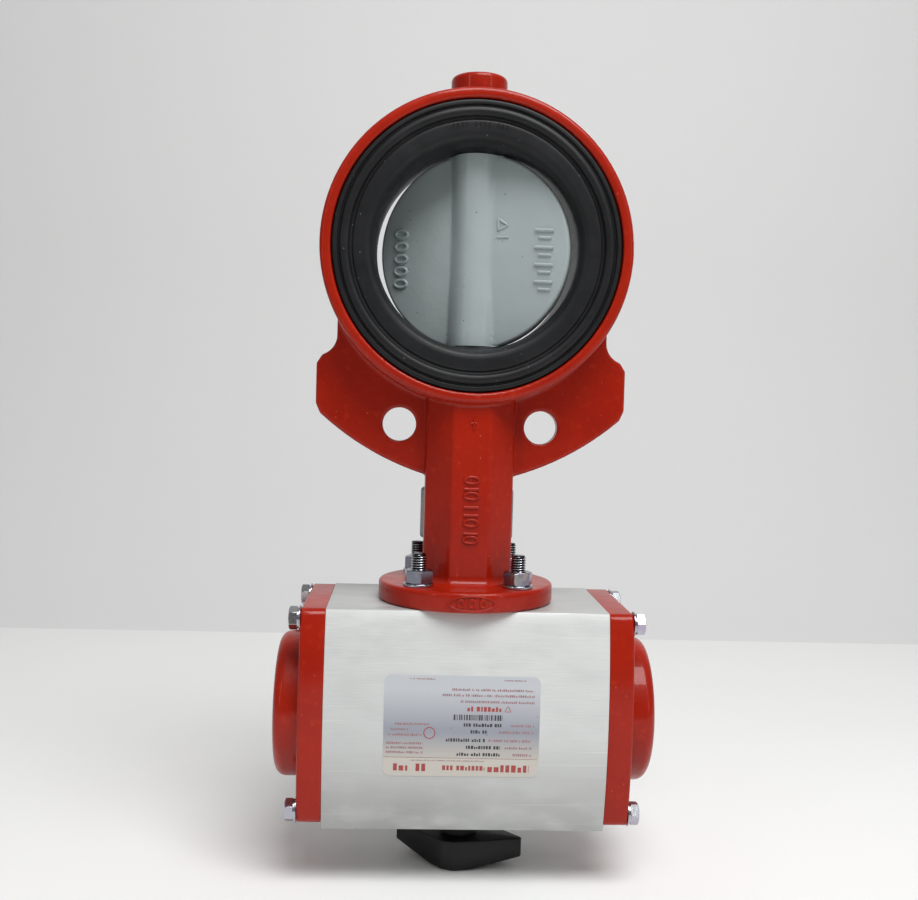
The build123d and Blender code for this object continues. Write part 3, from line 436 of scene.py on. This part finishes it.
def remesh_cast(node, new_name, voxel, smooth_times):
    """A copy of a CAD node as a casting: every edge and inside corner softly rounded."""
    mesh = nodes[node].data.copy()
    bm = bmesh.new()
    bm.from_mesh(mesh)
    bmesh.ops.remove_doubles(bm, verts=bm.verts, dist=1e-6)
    bm.to_mesh(mesh)
    bm.free()
    scratch = bpy.data.objects.new("scratch_cast", mesh)
    bpy.context.scene.collection.objects.link(scratch)
    remesh = scratch.modifiers.new("remesh", "REMESH")
    remesh.mode = "VOXEL"
    remesh.voxel_size = voxel
    soften = scratch.modifiers.new("soften", "SMOOTH")
    soften.factor = 0.5
    soften.iterations = smooth_times
    depsgraph = bpy.context.evaluated_depsgraph_get()
    cast = bpy.data.meshes.new_from_object(scratch.evaluated_get(depsgraph))
    bpy.data.objects.remove(scratch)
    return add_mesh(new_name, cast, "housing", slot_of_node[node], [node], sharp_deg=60)


# ======================= valve =======================

cast_voxel = 0.8 * MM
remesh_cast("valve_body", "valve_body_casting", cast_voxel, 2)

# Rubber seat: half of its section, from the bore outwards, in mm (distance along Y, radius).
seat_bore_r = 50.45
seat_half_section = [
    (0, seat_bore_r), (17.5, seat_bore_r), (22.3, 51.4), (24.6, 53.2), (25.2, 55.2), (25.3, 56.2),
    (25.3, 61.2), (24.3, 61.9), (24.4, 62.9), (26.4, 63.7), (27.0, 65.6), (26.4, 67.6),
    (24.7, 68.3), (24.7, 69.0), (25.7, 69.3), (25.5, 71.3), (24.4, 71.8), (16.5, 71.8),
    (16.5, 58.0), (8.0, 58.0), (8.0, 61.5), (0, 61.5),
]
seat_steps = 240
land_r = 13.5 * MM
land_height = 48.65 * MM


def make_seat():
    section = [(-y, r) for y, r in seat_half_section]
    section += [(y, r) for y, r in reversed(seat_half_section[1:-1])]
    section = round_corners(section, 2)
    vertices = []
    for y, r in section:
        for k in range(seat_steps):
            turn = 2 * math.pi * k / seat_steps
            x, z = r * MM * math.cos(turn), r * MM * math.sin(turn)
            # the bore is flat where the disc hub meets it
            reach = math.hypot(x, y * MM)
            if reach < land_r + 1.5 * MM and r < 55:
                flat = 1 - smooth_step(reach, land_r, land_r + 1.5 * MM)
                z = math.copysign(abs(z) + (land_height - abs(z)) * flat, z)
            vertices.append((x, y * MM, pipe_z + z))
    faces = rings_to_faces(len(section), seat_steps, True)
    return add_piece("seat_liner", vertices, faces, "housing", "seat_rubber", ["seat"], sharp_deg=50)


make_seat()

# Disc: a lens with a rounded rim and a soft-edged hub rib.
disc_r = 50.3 * MM
disc_hub_flat = (disc_high.z - disc_low.z) / 2
disc_rib_r = 11.8 * MM
disc_middle_half = 6.0 * MM
disc_rim_half = 3.4 * MM
disc_rim_round = 1.6 * MM
disc_steps = 288
disc_rings = 96


def disc_half_thickness(u, w):
    """Half the disc's thickness at u along its edge direction and w along the stem."""
    r = math.hypot(u, w)
    crown = math.cos(min(r / disc_r, 1) * math.pi / 2) ** 0.8
    lens = disc_rim_half + (disc_middle_half - disc_rim_half) * crown
    flare = 1.5 * MM * smooth_step(abs(w), 32 * MM, 48 * MM)
    rib_r = disc_rib_r + flare * 0.2
    rib = math.sqrt(max(rib_r**2 - u * u, 0.0))
    fillet = 3.0 * MM + 2.2 * MM * smooth_step(-w, 10 * MM, 30 * MM) + flare
    hub = 7.4 * MM - 0.55 * MM * ((u / (10 * MM)) ** 2 + (w / (14 * MM)) ** 2)
    thick = smooth_max(smooth_max(lens, hub, 2.5 * MM), rib, fillet)
    from_rim = disc_r - r
    if from_rim < disc_rim_round:
        into_round = disc_rim_round - max(from_rim, 0)
        edge = disc_rim_round - math.sqrt(max(disc_rim_round**2 - into_round**2, 0))
        if abs(w) < disc_hub_flat - 0.2 * MM:
            thick -= edge
    return thick


def make_disc():
    radii = [disc_r * math.sin(math.pi / 2 * k / disc_rings) for k in range(1, disc_rings + 1)]
    vertices = [
        Vector((0, 0, pipe_z)) + across_disc * side * disc_half_thickness(0, 0) for side in (-1, 1)
    ]
    faces = []
    firsts = []
    for side in (-1, 1):
        first = len(vertices)
        firsts.append(first)
        for r in radii:
            for k in range(disc_steps):
                turn = 2 * math.pi * (k + 0.5) / disc_steps
                u, w = r * math.cos(turn), r * math.sin(turn)
                w = max(-disc_hub_flat, min(disc_hub_flat, w))
                depth = side * disc_half_thickness(u, w)
                vertices.append(Vector((0, 0, pipe_z)) + along_disc * u + up * w + across_disc * depth)
        faces += rings_to_faces(disc_rings, disc_steps, False, first)
        centre = 0 if side < 0 else 1
        faces += [(centre, first + k, first + (k + 1) % disc_steps) for k in range(disc_steps)]
    last = (disc_rings - 1) * disc_steps
    for k in range(disc_steps):
        n = (k + 1) % disc_steps
        faces.append((firsts[0] + last + k, firsts[0] + last + n, firsts[1] + last + n, firsts[1] + last + k))
    return add_piece("coated_disc", vertices, faces, "rotor", "grey_nylon", ["disc"], sharp_deg=50)


make_disc()


# ======================= fasteners =======================


def on_axis(origin, axis, side_dir):
    """A matrix that stands local Z on an axis, with local X towards side_dir."""
    z = Vector(axis).normalized()
    x = Vector(side_dir).normalized()
    matrix = Matrix((x, z.cross(x), z)).transposed().to_4x4()
    matrix.translation = origin
    return matrix


def threaded_rod(length, r, pitch, matrix):
    """Vertices and faces of a threaded rod from local Z 0 to length, chamfered at both ends."""
    steps = 40
    rows = int(length / pitch * 8)
    depth = pitch * 0.62
    vertices = []
    for row in range(rows + 1):
        z = length * row / rows
        from_end = min(z, length - z)
        for k in range(steps):
            phase = (z / pitch - k / steps) % 1
            groove = depth * smooth_step(abs(phase - 0.5), 0.46, 0.10)
            rr = min(r - groove, r - max(0.0, pitch * 0.75 - from_end))
            turn = 2 * math.pi * k / steps
            vertices.append(matrix @ Vector((rr * math.cos(turn), rr * math.sin(turn), z)))
    faces = rings_to_faces(rows + 1, steps, False)
    faces.append(tuple(range(steps)))
    faces.append(tuple(range(rows * steps, (rows + 1) * steps)))
    return vertices, faces


def hex_shape(across_flats, height, matrix, hole_r=0.0, both_ends=True):
    """A hex nut, or a bolt head where hole_r is 0, with the curved edges that its chamfers leave."""
    steps = 72
    bevel_r = across_flats * 0.475
    slope = math.tan(math.radians(28))
    outline = []
    for k in range(steps):
        turn = 2 * math.pi * k / steps
        reach = across_flats / 2 / math.cos((turn % (math.pi / 3)) - math.pi / 6)
        outline.append((turn, reach))
    rings = []
    inner = hole_r if hole_r else across_flats * 0.30

    def ring(radius_of, z_of):
        rings.append([
            matrix @ Vector((
                radius_of(reach) * math.cos(turn), radius_of(reach) * math.sin(turn), z_of(reach),
            ))
            for turn, reach in outline
        ])

    drop = across_flats * 0.02 if not hole_r else 0.0
    ring(lambda reach: inner, lambda reach: height - drop)
    if drop:
        ring(lambda reach: inner * 1.12, lambda reach: height)
    ring(lambda reach: bevel_r, lambda reach: height)
    ring(lambda reach: reach, lambda reach: height - (reach - bevel_r) * slope)
    low_slope = slope if both_ends else 0.0
    ring(lambda reach: reach, lambda reach: (reach - bevel_r) * low_slope)
    ring(lambda reach: bevel_r, lambda reach: 0.0)
    ring(lambda reach: inner, lambda reach: 0.0)
    vertices = [v for points in rings for v in points]
    faces = rings_to_faces(len(rings), steps, bool(hole_r))
    if not hole_r:
        faces.append(tuple(range(steps)))
        faces.append(tuple(range((len(rings) - 1) * steps, len(rings) * steps)))
    return vertices, faces


def spring_washer(outer_r, inner_r, thickness, matrix):
    """A split spring washer: a square-section ring whose ends stand apart by a little."""
    steps, gap_deg, rise = 60, 9, thickness * 0.22
    section = [(inner_r, 0), (outer_r, 0), (outer_r, thickness), (inner_r, thickness)]
    vertices = []
    for k in range(steps + 1):
        turn = math.radians(gap_deg / 2 + (360 - gap_deg) * k / steps)
        lift = rise * (k / steps - 0.5)
        for r, z in section:
            height = min(max(z + lift, 0), thickness)
            vertices.append(matrix @ Vector((r * math.cos(turn), r * math.sin(turn), height)))
    faces = rings_to_faces(steps + 1, 4, False)
    faces += [(0, 1, 2, 3), tuple(steps * 4 + k for k in range(4))]
    return vertices, faces


def break_edges(piece, width, segments=2):
    """Rounds a piece's sharp edges with a bevel that is kept as a modifier."""
    bevel = piece.modifiers.new("break_edges", "BEVEL")
    bevel.width = width
    bevel.segments = segments
    bevel.limit_method = "ANGLE"
    bevel.angle_limit = math.radians(26)
    bevel.harden_normals = False


nut_turns_deg = (8, 25, 38, 12)
nut_low_z = washer_high.z
for number, (stud_deg, nut_turn) in enumerate(zip((45, 135, 225, 315), nut_turns_deg), 1):
    turn = math.radians(stud_deg)
    at = Vector((stud_circle * math.cos(turn), stud_circle * math.sin(turn), 0))
    rod = threaded_rod(
        stud_high.z - stud_low.z, stud_r - 0.02 * MM, stud_pitch, Matrix.Translation(at + up * stud_low.z)
    )
    add_piece(f"flange_stud_{number}", *rod, "housing", "zinc_plate", ["flange_studs"], thread_zinc, 50)
    x_dir = (math.cos(math.radians(nut_turn)), math.sin(math.radians(nut_turn)), 0)
    nut = hex_shape(13 * MM, 6.7 * MM, on_axis(at + up * nut_low_z, up, x_dir), hole_r=stud_r)
    piece = add_piece(f"flange_nut_{number}", *nut, "housing", "zinc_plate", ["flange_nuts"], nut_zinc, 24)
    break_edges(piece, 0.16 * MM)
refine("flange_washers", "flange_washer_set", 0.25 * MM)

cap_face_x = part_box("end_cap_washers")[1].x - 1.6 * MM
cap_bolt_y = 33.0 * MM
cap_bolt_drops = (5.6 * MM, 100.5 * MM)
flat_washer_t = 0.7 * MM
spring_washer_t = 0.9 * MM
cap_washer_hole_r = 3.1 * MM
number = 0
for side in (-1, 1):
    for y in (-cap_bolt_y, cap_bolt_y):
        for drop in cap_bolt_drops:
            number += 1
            origin = Vector((side * cap_face_x, y, mount_z - drop))
            outward = Vector((side, 0, 0))
            seat_matrix = on_axis(origin, outward, (0, math.cos(number), math.sin(number)))
            spring_matrix = seat_matrix @ Matrix.Translation((0, 0, flat_washer_t))
            washer = spring_washer(5.1 * MM, cap_washer_hole_r, spring_washer_t, spring_matrix)
            add_piece(f"cap_spring_washer_{number}", *washer, "housing", "zinc_plate", ["end_cap_washers"])
            flat = []
            for r, z in ((3.1, 0), (6.0, 0), (6.2, 0.12), (6.2, 0.58), (6.0, 0.7), (3.1, 0.7)):
                for k in range(48):
                    spin = 2 * math.pi * k / 48
                    point = Vector((r * MM * math.cos(spin), r * MM * math.sin(spin), z * MM))
                    flat.append(seat_matrix @ point)
            add_piece(
                f"cap_flat_washer_{number}", flat, rings_to_faces(6, 48, True), "housing", "zinc_plate",
                ["end_cap_washers"],
            )
            lean = math.radians(15 + 7 * number)
            head_seat = origin + outward * (flat_washer_t + spring_washer_t)
            head_matrix = on_axis(head_seat, outward, (0, math.cos(lean), math.sin(lean)))
            head = hex_shape(10 * MM, 4.2 * MM, head_matrix, both_ends=False)
            piece = add_piece(
                f"cap_bolt_head_{number}", *head, "housing", "zinc_plate", ["end_cap_bolts"], sharp_deg=24
            )
            break_edges(piece, 0.14 * MM)


# ======================= actuator =======================

refine("actuator_body", "actuator_body_extrusion", 0.35 * MM)
refine("left_end_cap", "left_end_cap_casting", 0.5 * MM)
refine("right_end_cap", "right_end_cap_casting", 0.5 * MM)
refine("indicator", "indicator_pointer", 0.6 * MM, 3)
refine("stop_jam_nuts", "stop_jam_nut_pair", 0.18 * MM)
refine("stop_seal_washers", "stop_seal_washer_pair", 0.2 * MM)
refine("name_plate", "name_plate_stamping", 0.12 * MM)

for node, mesh_object in nodes.items():
    for index in range(len(mesh_object.material_slots)):
        mesh_object.material_slots[index].material = finishes[slot_of_node[node]]


# ======================= raised and printed marks =======================

neck_face_y = -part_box("name_plate")[0].y
flange_r = 45.0 * MM
crown_sagitta = 6.8 * MM
body_half_height = (body_high.z - body_low.z) / 2
crown_r = (body_half_height**2 + crown_sagitta**2) / (2 * crown_sagitta)
crown_axis_y = body_low.y + crown_r
label_low, label_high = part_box("name_label")
label_middle = (label_low + label_high) / 2
label_face_r = crown_axis_y - label_low.y


def on_neck(a, b):
    """The front facet of the neck, a along X and b up from the flange."""
    return Vector((a, neck_face_y, flange_top_z + b)), Vector((0, -1, 0))


def on_flange_edge(a, b):
    """The rim of the flange, a round it from the front and b up from its middle."""
    normal = Vector((math.sin(a / flange_r), -math.cos(a / flange_r), 0))
    return normal * flange_r + up * ((mount_z + flange_top_z) / 2 + b), normal


def on_disc(a, b):
    """The front face of the disc, a along it and b up from the pipe axis."""
    depth = disc_half_thickness(a, b)
    return Vector((0, 0, pipe_z)) + along_disc * a + up * b - across_disc * depth, -across_disc


def on_seat(a, b):
    """The flat band of the seat's front face, a round it from the top and b outwards from its middle."""
    band_r = 59.6 * MM
    outward = Vector((math.sin(a / band_r), 0, math.cos(a / band_r)))
    return Vector((0, -25.3 * MM, pipe_z)) + outward * (band_r + b), Vector((0, -1, 0))


def on_label(a, b):
    """The face of the label, a to the right and b up from its middle."""
    lean = math.asin((label_middle.z + b - body_middle_z) / label_face_r)
    normal = Vector((0, -math.cos(lean), math.sin(lean)))
    return Vector((label_middle.x + a, crown_axis_y, body_middle_z)) + normal * label_face_r, normal


def ridge(surface, path, width, height, closed=False):
    """Vertices and faces of a rounded ridge along a path of (a, b) points in mm on a surface."""
    section = [(-0.5, -0.4), (-0.42, 0.55), (-0.2, 0.95), (0.2, 0.95), (0.42, 0.55), (0.5, -0.4)]
    fine = []
    spans = list(zip(path, path[1:] + path[:1] if closed else path[1:]))
    for (a0, b0), (a1, b1) in spans:
        parts = max(1, round(math.hypot(a1 - a0, b1 - b0) / 1.2))
        fine += [(a0 + (a1 - a0) * k / parts, b0 + (b1 - b0) * k / parts) for k in range(parts)]
    if not closed:
        fine.append(path[-1])
    vertices = []
    count = len(fine)
    for k, (a, b) in enumerate(fine):
        before = fine[(k - 1) % count] if closed or k > 0 else fine[k]
        after = fine[(k + 1) % count] if closed or k < count - 1 else fine[k]
        step = Vector((after[0] - before[0], after[1] - before[1])).normalized()
        for across, rise in section:
            point, normal = surface((a - step.y * across * width) * MM, (b + step.x * across * width) * MM)
            vertices.append(point + normal * rise * height * MM)
    rows = len(section)
    faces = []
    for k in range(count if closed else count - 1):
        n = (k + 1) % count
        for j in range(rows - 1):
            faces.append((k * rows + j, k * rows + j + 1, n * rows + j + 1, n * rows + j))
        faces.append((k * rows, n * rows, n * rows + rows - 1, k * rows + rows - 1))
    if not closed:
        faces.append(tuple(range(rows)))
        faces.append(tuple((count - 1) * rows + j for j in range(rows)))
    return vertices, faces


def merge(parts):
    """One list of vertices and faces from several."""
    vertices, faces = [], []
    for part_vertices, part_faces in parts:
        first = len(vertices)
        vertices += part_vertices
        faces += [tuple(first + k for k in face) for face in part_faces]
    return vertices, faces


def oval(a, b, half_a, half_b, points=20):
    return [
        (a + half_a * math.cos(2 * math.pi * k / points), b + half_b * math.sin(2 * math.pi * k / points))
        for k in range(points)
    ]


def add_cast_marks():
    """Plain raised bars and ovals where the casting and the disc carry foundry marks."""
    half = 3.6
    parts = []
    for low in (21.5, 30.0, 43.6, 51.5):
        parts.append(ridge(on_neck, oval(0.6, low + 1.6, half, 1.7), 1.5, 0.9, closed=True))
    for low in (26.2, 35.4, 39.4, 48.6):
        parts.append(ridge(on_neck, [(0.6 - half, low), (0.6 + half, low)], 1.8, 0.9))
    parts.append(ridge(on_neck, [(-0.6, 81.5), (2.4, 81.5)], 1.3, 0.7))
    parts.append(ridge(on_neck, [(0.9, 78.5), (0.9, 84.0)], 1.3, 0.7))
    add_piece("neck_cast_marks", *merge(parts), "housing", "red_enamel", sharp_deg=80)
    parts = [ridge(on_flange_edge, oval(1.0, 0, 11.2, 3.6, 40), 1.2, 0.8, closed=True)]
    for a in (-4.4, 1.0, 6.4):
        parts.append(ridge(on_flange_edge, oval(a, 0, 1.5, 1.9), 1.5, 0.8, closed=True))
    add_piece("flange_cast_marks", *merge(parts), "housing", "red_enamel", sharp_deg=80)
    parts = []
    for b in (10.4, 1.8, -6.8, -15.4):
        parts.append(ridge(on_disc, [(33.0, b), (42.4, b - 0.4)], 2.0, 1.1))
        parts.append(ridge(on_disc, [(35.0, b - 3.8), (41.2, b - 4.1)], 1.8, 0.9))
    for b in (9.4, 3.0, -3.4, -9.8, -16.2):
        parts.append(ridge(on_disc, oval(-38.6, b, 3.4, 2.0, 14), 1.8, 1.2, closed=True))
    parts.append(ridge(on_disc, [(14.0, 10.4), (14.0, 16.0), (18.8, 12.8)], 1.4, 0.8, closed=True))
    parts.append(ridge(on_disc, [(13.6, 6.8), (19.4, 6.8)], 1.3, 0.6))
    add_piece("disc_cast_marks", *merge(parts), "rotor", "grey_nylon", sharp_deg=80)
    parts = []
    for k in range(13):
        if k % 5 != 4:
            a = -13.5 + 2.2 * k
            parts.append(ridge(on_seat, [(a, -1.0), (a, 1.0)], 0.9, 0.22))
    add_piece("seat_mould_marks", *merge(parts), "housing", "seat_rubber", sharp_deg=80)


print_lift = 0.02 * MM
label_tilt = math.radians(-0.35)


def label_patch(a0, a1, b0, b1):
    """A thin printed rectangle on the label, its sides in mm from the middle."""
    corners = []
    for a, b in ((a0, b0), (a1, b0), (a1, b1), (a0, b1)):
        point, normal = on_label(
            (a * math.cos(label_tilt) - b * math.sin(label_tilt)) * MM,
            (a * math.sin(label_tilt) + b * math.cos(label_tilt)) * MM,
        )
        corners.append((point, normal))
    vertices = [p - n * print_lift for p, n in corners] + [p + n * print_lift for p, n in corners]
    faces = [(0, 1, 2, 3), (4, 5, 6, 7)] + [(k, (k + 1) % 4, 4 + (k + 1) % 4, 4 + k) for k in range(4)]
    return vertices, faces


def word_line(dice, start, end, middle, height):
    """A printed line made of small blocks, with wider gaps where words would part."""
    blocks = []
    a = start
    while a < end:
        width = height * dice.uniform(0.35, 0.75)
        low = middle - height / 2
        blocks.append(label_patch(a, min(a + width, end), low, low + height * dice.choice((1.0, 1.0, 0.72))))
        a += width + height * (0.75 if dice.random() < 0.14 else 0.24)
    return blocks


def add_label_print():
    """The layout of the printed label, with plain blocks in place of its words."""
    dice = random.Random(7)
    red, black, grey = [], [], []
    for start, end, middle in ((-25.6, -13.5, 22.9), (19.9, 30.8, 22.9)):
        grey += word_line(dice, start, end, middle, 0.7)
    for start, end, middle in ((-5.3, 35.0, 18.1), (-9.8, 35.0, 15.4), (-0.9, 35.0, 12.4)):
        grey += word_line(dice, start, end, middle, 1.15)
    red += word_line(dice, 2.4, 18.9, 8.9, 2.3)
    for start, end, middle in (
        (23.9, 35.0, 1.1), (18.2, 35.0, -2.2), (13.2, 33.5, -6.4), (21.1, 34.3, -9.9), (25.1, 34.3, -13.4),
    ):
        grey += word_line(dice, start, end, middle, 1.2)
    for start, end, middle in (
        (0.9, 19.4, 1.1), (4.3, 12.5, -2.2), (-7.5, 12.5, -6.4), (2.3, 18.9, -9.9), (-2.1, 18.9, -13.4),
    ):
        black += word_line(dice, start, end, middle, 1.6)
    for start, end, middle in (
        (-32.3, -16.0, 1.1), (-34.3, -25.6, -1.6), (-35.5, -19.4, -4.2),
        (-36.3, -18.4, -8.4), (-36.3, -18.4, -10.6), (-36.3, -18.4, -12.9),
    ):
        grey += word_line(dice, start, end, middle, 1.1)
    a = -4.1
    while a < 19.5:
        width = dice.choice((0.25, 0.25, 0.5, 0.75))
        black.append(label_patch(a, a + width, 3.4, 6.1))
        a += width + dice.choice((0.3, 0.3, 0.55))
    grey.append(label_patch(-37.4, 37.4, -15.55, -15.3))
    grey += word_line(dice, -24.6, 11.5, -16.8, 0.55)
    for start, end, half in ((13.2, 33.3, 1.8), (-8.8, 11.8, 1.2), (-21.7, -16.7, 1.9), (-32.6, -25.6, 1.8)):
        red += word_line(dice, start, end, -20.4, 2 * half)
    red_ink = make_ink("label_ink_red", (0.33, 0.045, 0.04))
    add_piece("label_print_red", *merge(red), "housing", "label_print", material=red_ink)
    black_ink = make_ink("label_ink_black", (0.03, 0.03, 0.035))
    add_piece("label_print_black", *merge(black), "housing", "label_print", material=black_ink)
    grey_ink = make_ink("label_ink_soft", (0.29, 0.16, 0.17))
    add_piece("label_print_soft", *merge(grey), "housing", "label_print", material=grey_ink)
    sign = [ridge(on_label, [(20.6, 7.7), (22.2, 10.4), (23.8, 7.7)], 0.35, 0.03, closed=True)]
    sign.append(ridge(on_label, oval(-15.6, -3.1, 2.7, 2.7), 0.5, 0.03, closed=True))
    add_piece("label_print_signs", *merge(sign), "housing", "label_print", material=red_ink)


add_cast_marks()
add_label_print()


# ======================= stage, light and camera =======================


def make_stage():
    floor = Finish("floor_paper", (0.90, 0.90, 0.893), 0.6)
    floor.paint(floor.noise(3, detail=3, contrast=(0.35, 0.8)), (0.88, 0.88, 0.87))
    backdrop = Finish("backdrop_paper", (0.77, 0.775, 0.77), 0.8)
    backdrop.paint(backdrop.noise(1.2, detail=2, contrast=(0.3, 0.8)), (0.79, 0.79, 0.79))
    half_width, front_y, edge_y, sweep_r, top_z = 6.0, -8.0, 0.56, 0.45, 2.4
    mesh = bpy.data.meshes.new("floor")
    mesh.from_pydata(
        [
            (-half_width, front_y, 0), (half_width, front_y, 0),
            (half_width, edge_y, 0), (-half_width, edge_y, 0),
        ],
        [], [(0, 1, 2, 3)],
    )
    mesh.materials.append(floor.material)
    floor_object = bpy.data.objects.new("floor", mesh)
    profile = [
        (edge_y + sweep_r * math.sin(math.radians(a)), sweep_r * (1 - math.cos(math.radians(a))))
        for a in range(0, 91, 6)
    ]
    profile.append((edge_y + sweep_r, top_z))
    vertices = [(x, y, z) for y, z in profile for x in (-half_width, half_width)]
    faces = [(2 * k, 2 * k + 1, 2 * k + 3, 2 * k + 2) for k in range(len(profile) - 1)]
    mesh = bpy.data.meshes.new("backdrop")
    mesh.from_pydata(vertices, [], faces)
    mesh.materials.append(backdrop.material)
    mesh.shade_smooth()
    backdrop_object = bpy.data.objects.new("backdrop", mesh)
    for made in (floor_object, backdrop_object):
        bpy.context.scene.collection.objects.link(made)


def add_area_light(name, location, aim, size, power, size_y=None):
    light = bpy.data.lights.new(name, "AREA")
    light.shape = "RECTANGLE"
    light.size = size
    light.size_y = size_y or size
    light.energy = power
    lamp = bpy.data.objects.new(name, light)
    lamp.location = location
    lamp.rotation_mode = "QUATERNION"
    lamp.rotation_quaternion = (Vector(aim) - Vector(location)).to_track_quat("-Z", "Y")
    bpy.context.scene.collection.objects.link(lamp)


def make_light():
    world = bpy.data.worlds.new("studio")
    world.use_nodes = True
    bpy.context.scene.world = world
    tree = world.node_tree
    background = tree.nodes["Background"]
    place = tree.nodes.new("ShaderNodeTexCoord")
    split = tree.nodes.new("ShaderNodeSeparateXYZ")
    ramp = tree.nodes.new("ShaderNodeValToRGB")
    tree.links.new(place.outputs["Generated"], split.inputs["Vector"])
    shift = tree.nodes.new("ShaderNodeMath")
    shift.operation = "MULTIPLY_ADD"
    shift.inputs[1].default_value = 0.5
    shift.inputs[2].default_value = 0.5
    tree.links.new(split.outputs["Z"], shift.inputs[0])
    tree.links.new(shift.outputs["Value"], ramp.inputs["Fac"])
    tree.links.new(ramp.outputs["Color"], background.inputs["Color"])
    ramp.color_ramp.elements[0].position = 0.42
    ramp.color_ramp.elements[0].color = (0.30, 0.30, 0.30, 1)
    ramp.color_ramp.elements[1].position = 0.85
    ramp.color_ramp.elements[1].color = (1.0, 1.0, 1.0, 1)
    background.inputs["Strength"].default_value = 0.30
    add_area_light("key_front_high", (0.28, -0.66, 1.45), (0, 0.16, 0.15), 1.0, 22.5, 0.8)
    for side in (-1, 1):
        add_area_light(
            f"edge_strip_{side}", (side * 1.0, -1.0, 0.75), (0, 0, 0.24), 0.10, 1.1, 1.1
        )


def make_camera():
    camera = bpy.data.cameras.new("camera")
    camera.sensor_width = 36.0
    camera.lens = 43.512
    shot = bpy.data.objects.new("camera", camera)
    bpy.context.scene.collection.objects.link(shot)
    yaw, pitch, roll = -0.0485126, -0.0404553, 0.0285357
    forward = Vector((-math.sin(yaw) * math.cos(pitch), math.cos(yaw) * math.cos(pitch), math.sin(pitch)))
    level_right = Vector((math.cos(yaw), math.sin(yaw), 0))
    level_up = level_right.cross(forward)
    right = level_right * math.cos(roll) + level_up * math.sin(roll)
    top = -level_right * math.sin(roll) + level_up * math.cos(roll)
    matrix = Matrix((right, top, -forward)).transposed().to_4x4()
    matrix.translation = Vector((-0.0331, -0.57409, 0.23792))
    shot.matrix_world = matrix
    camera.clip_start = 0.01
    bpy.context.scene.camera = shot


make_stage()
make_light()
make_camera()
bpy.context.scene.view_settings.view_transform = "Standard"
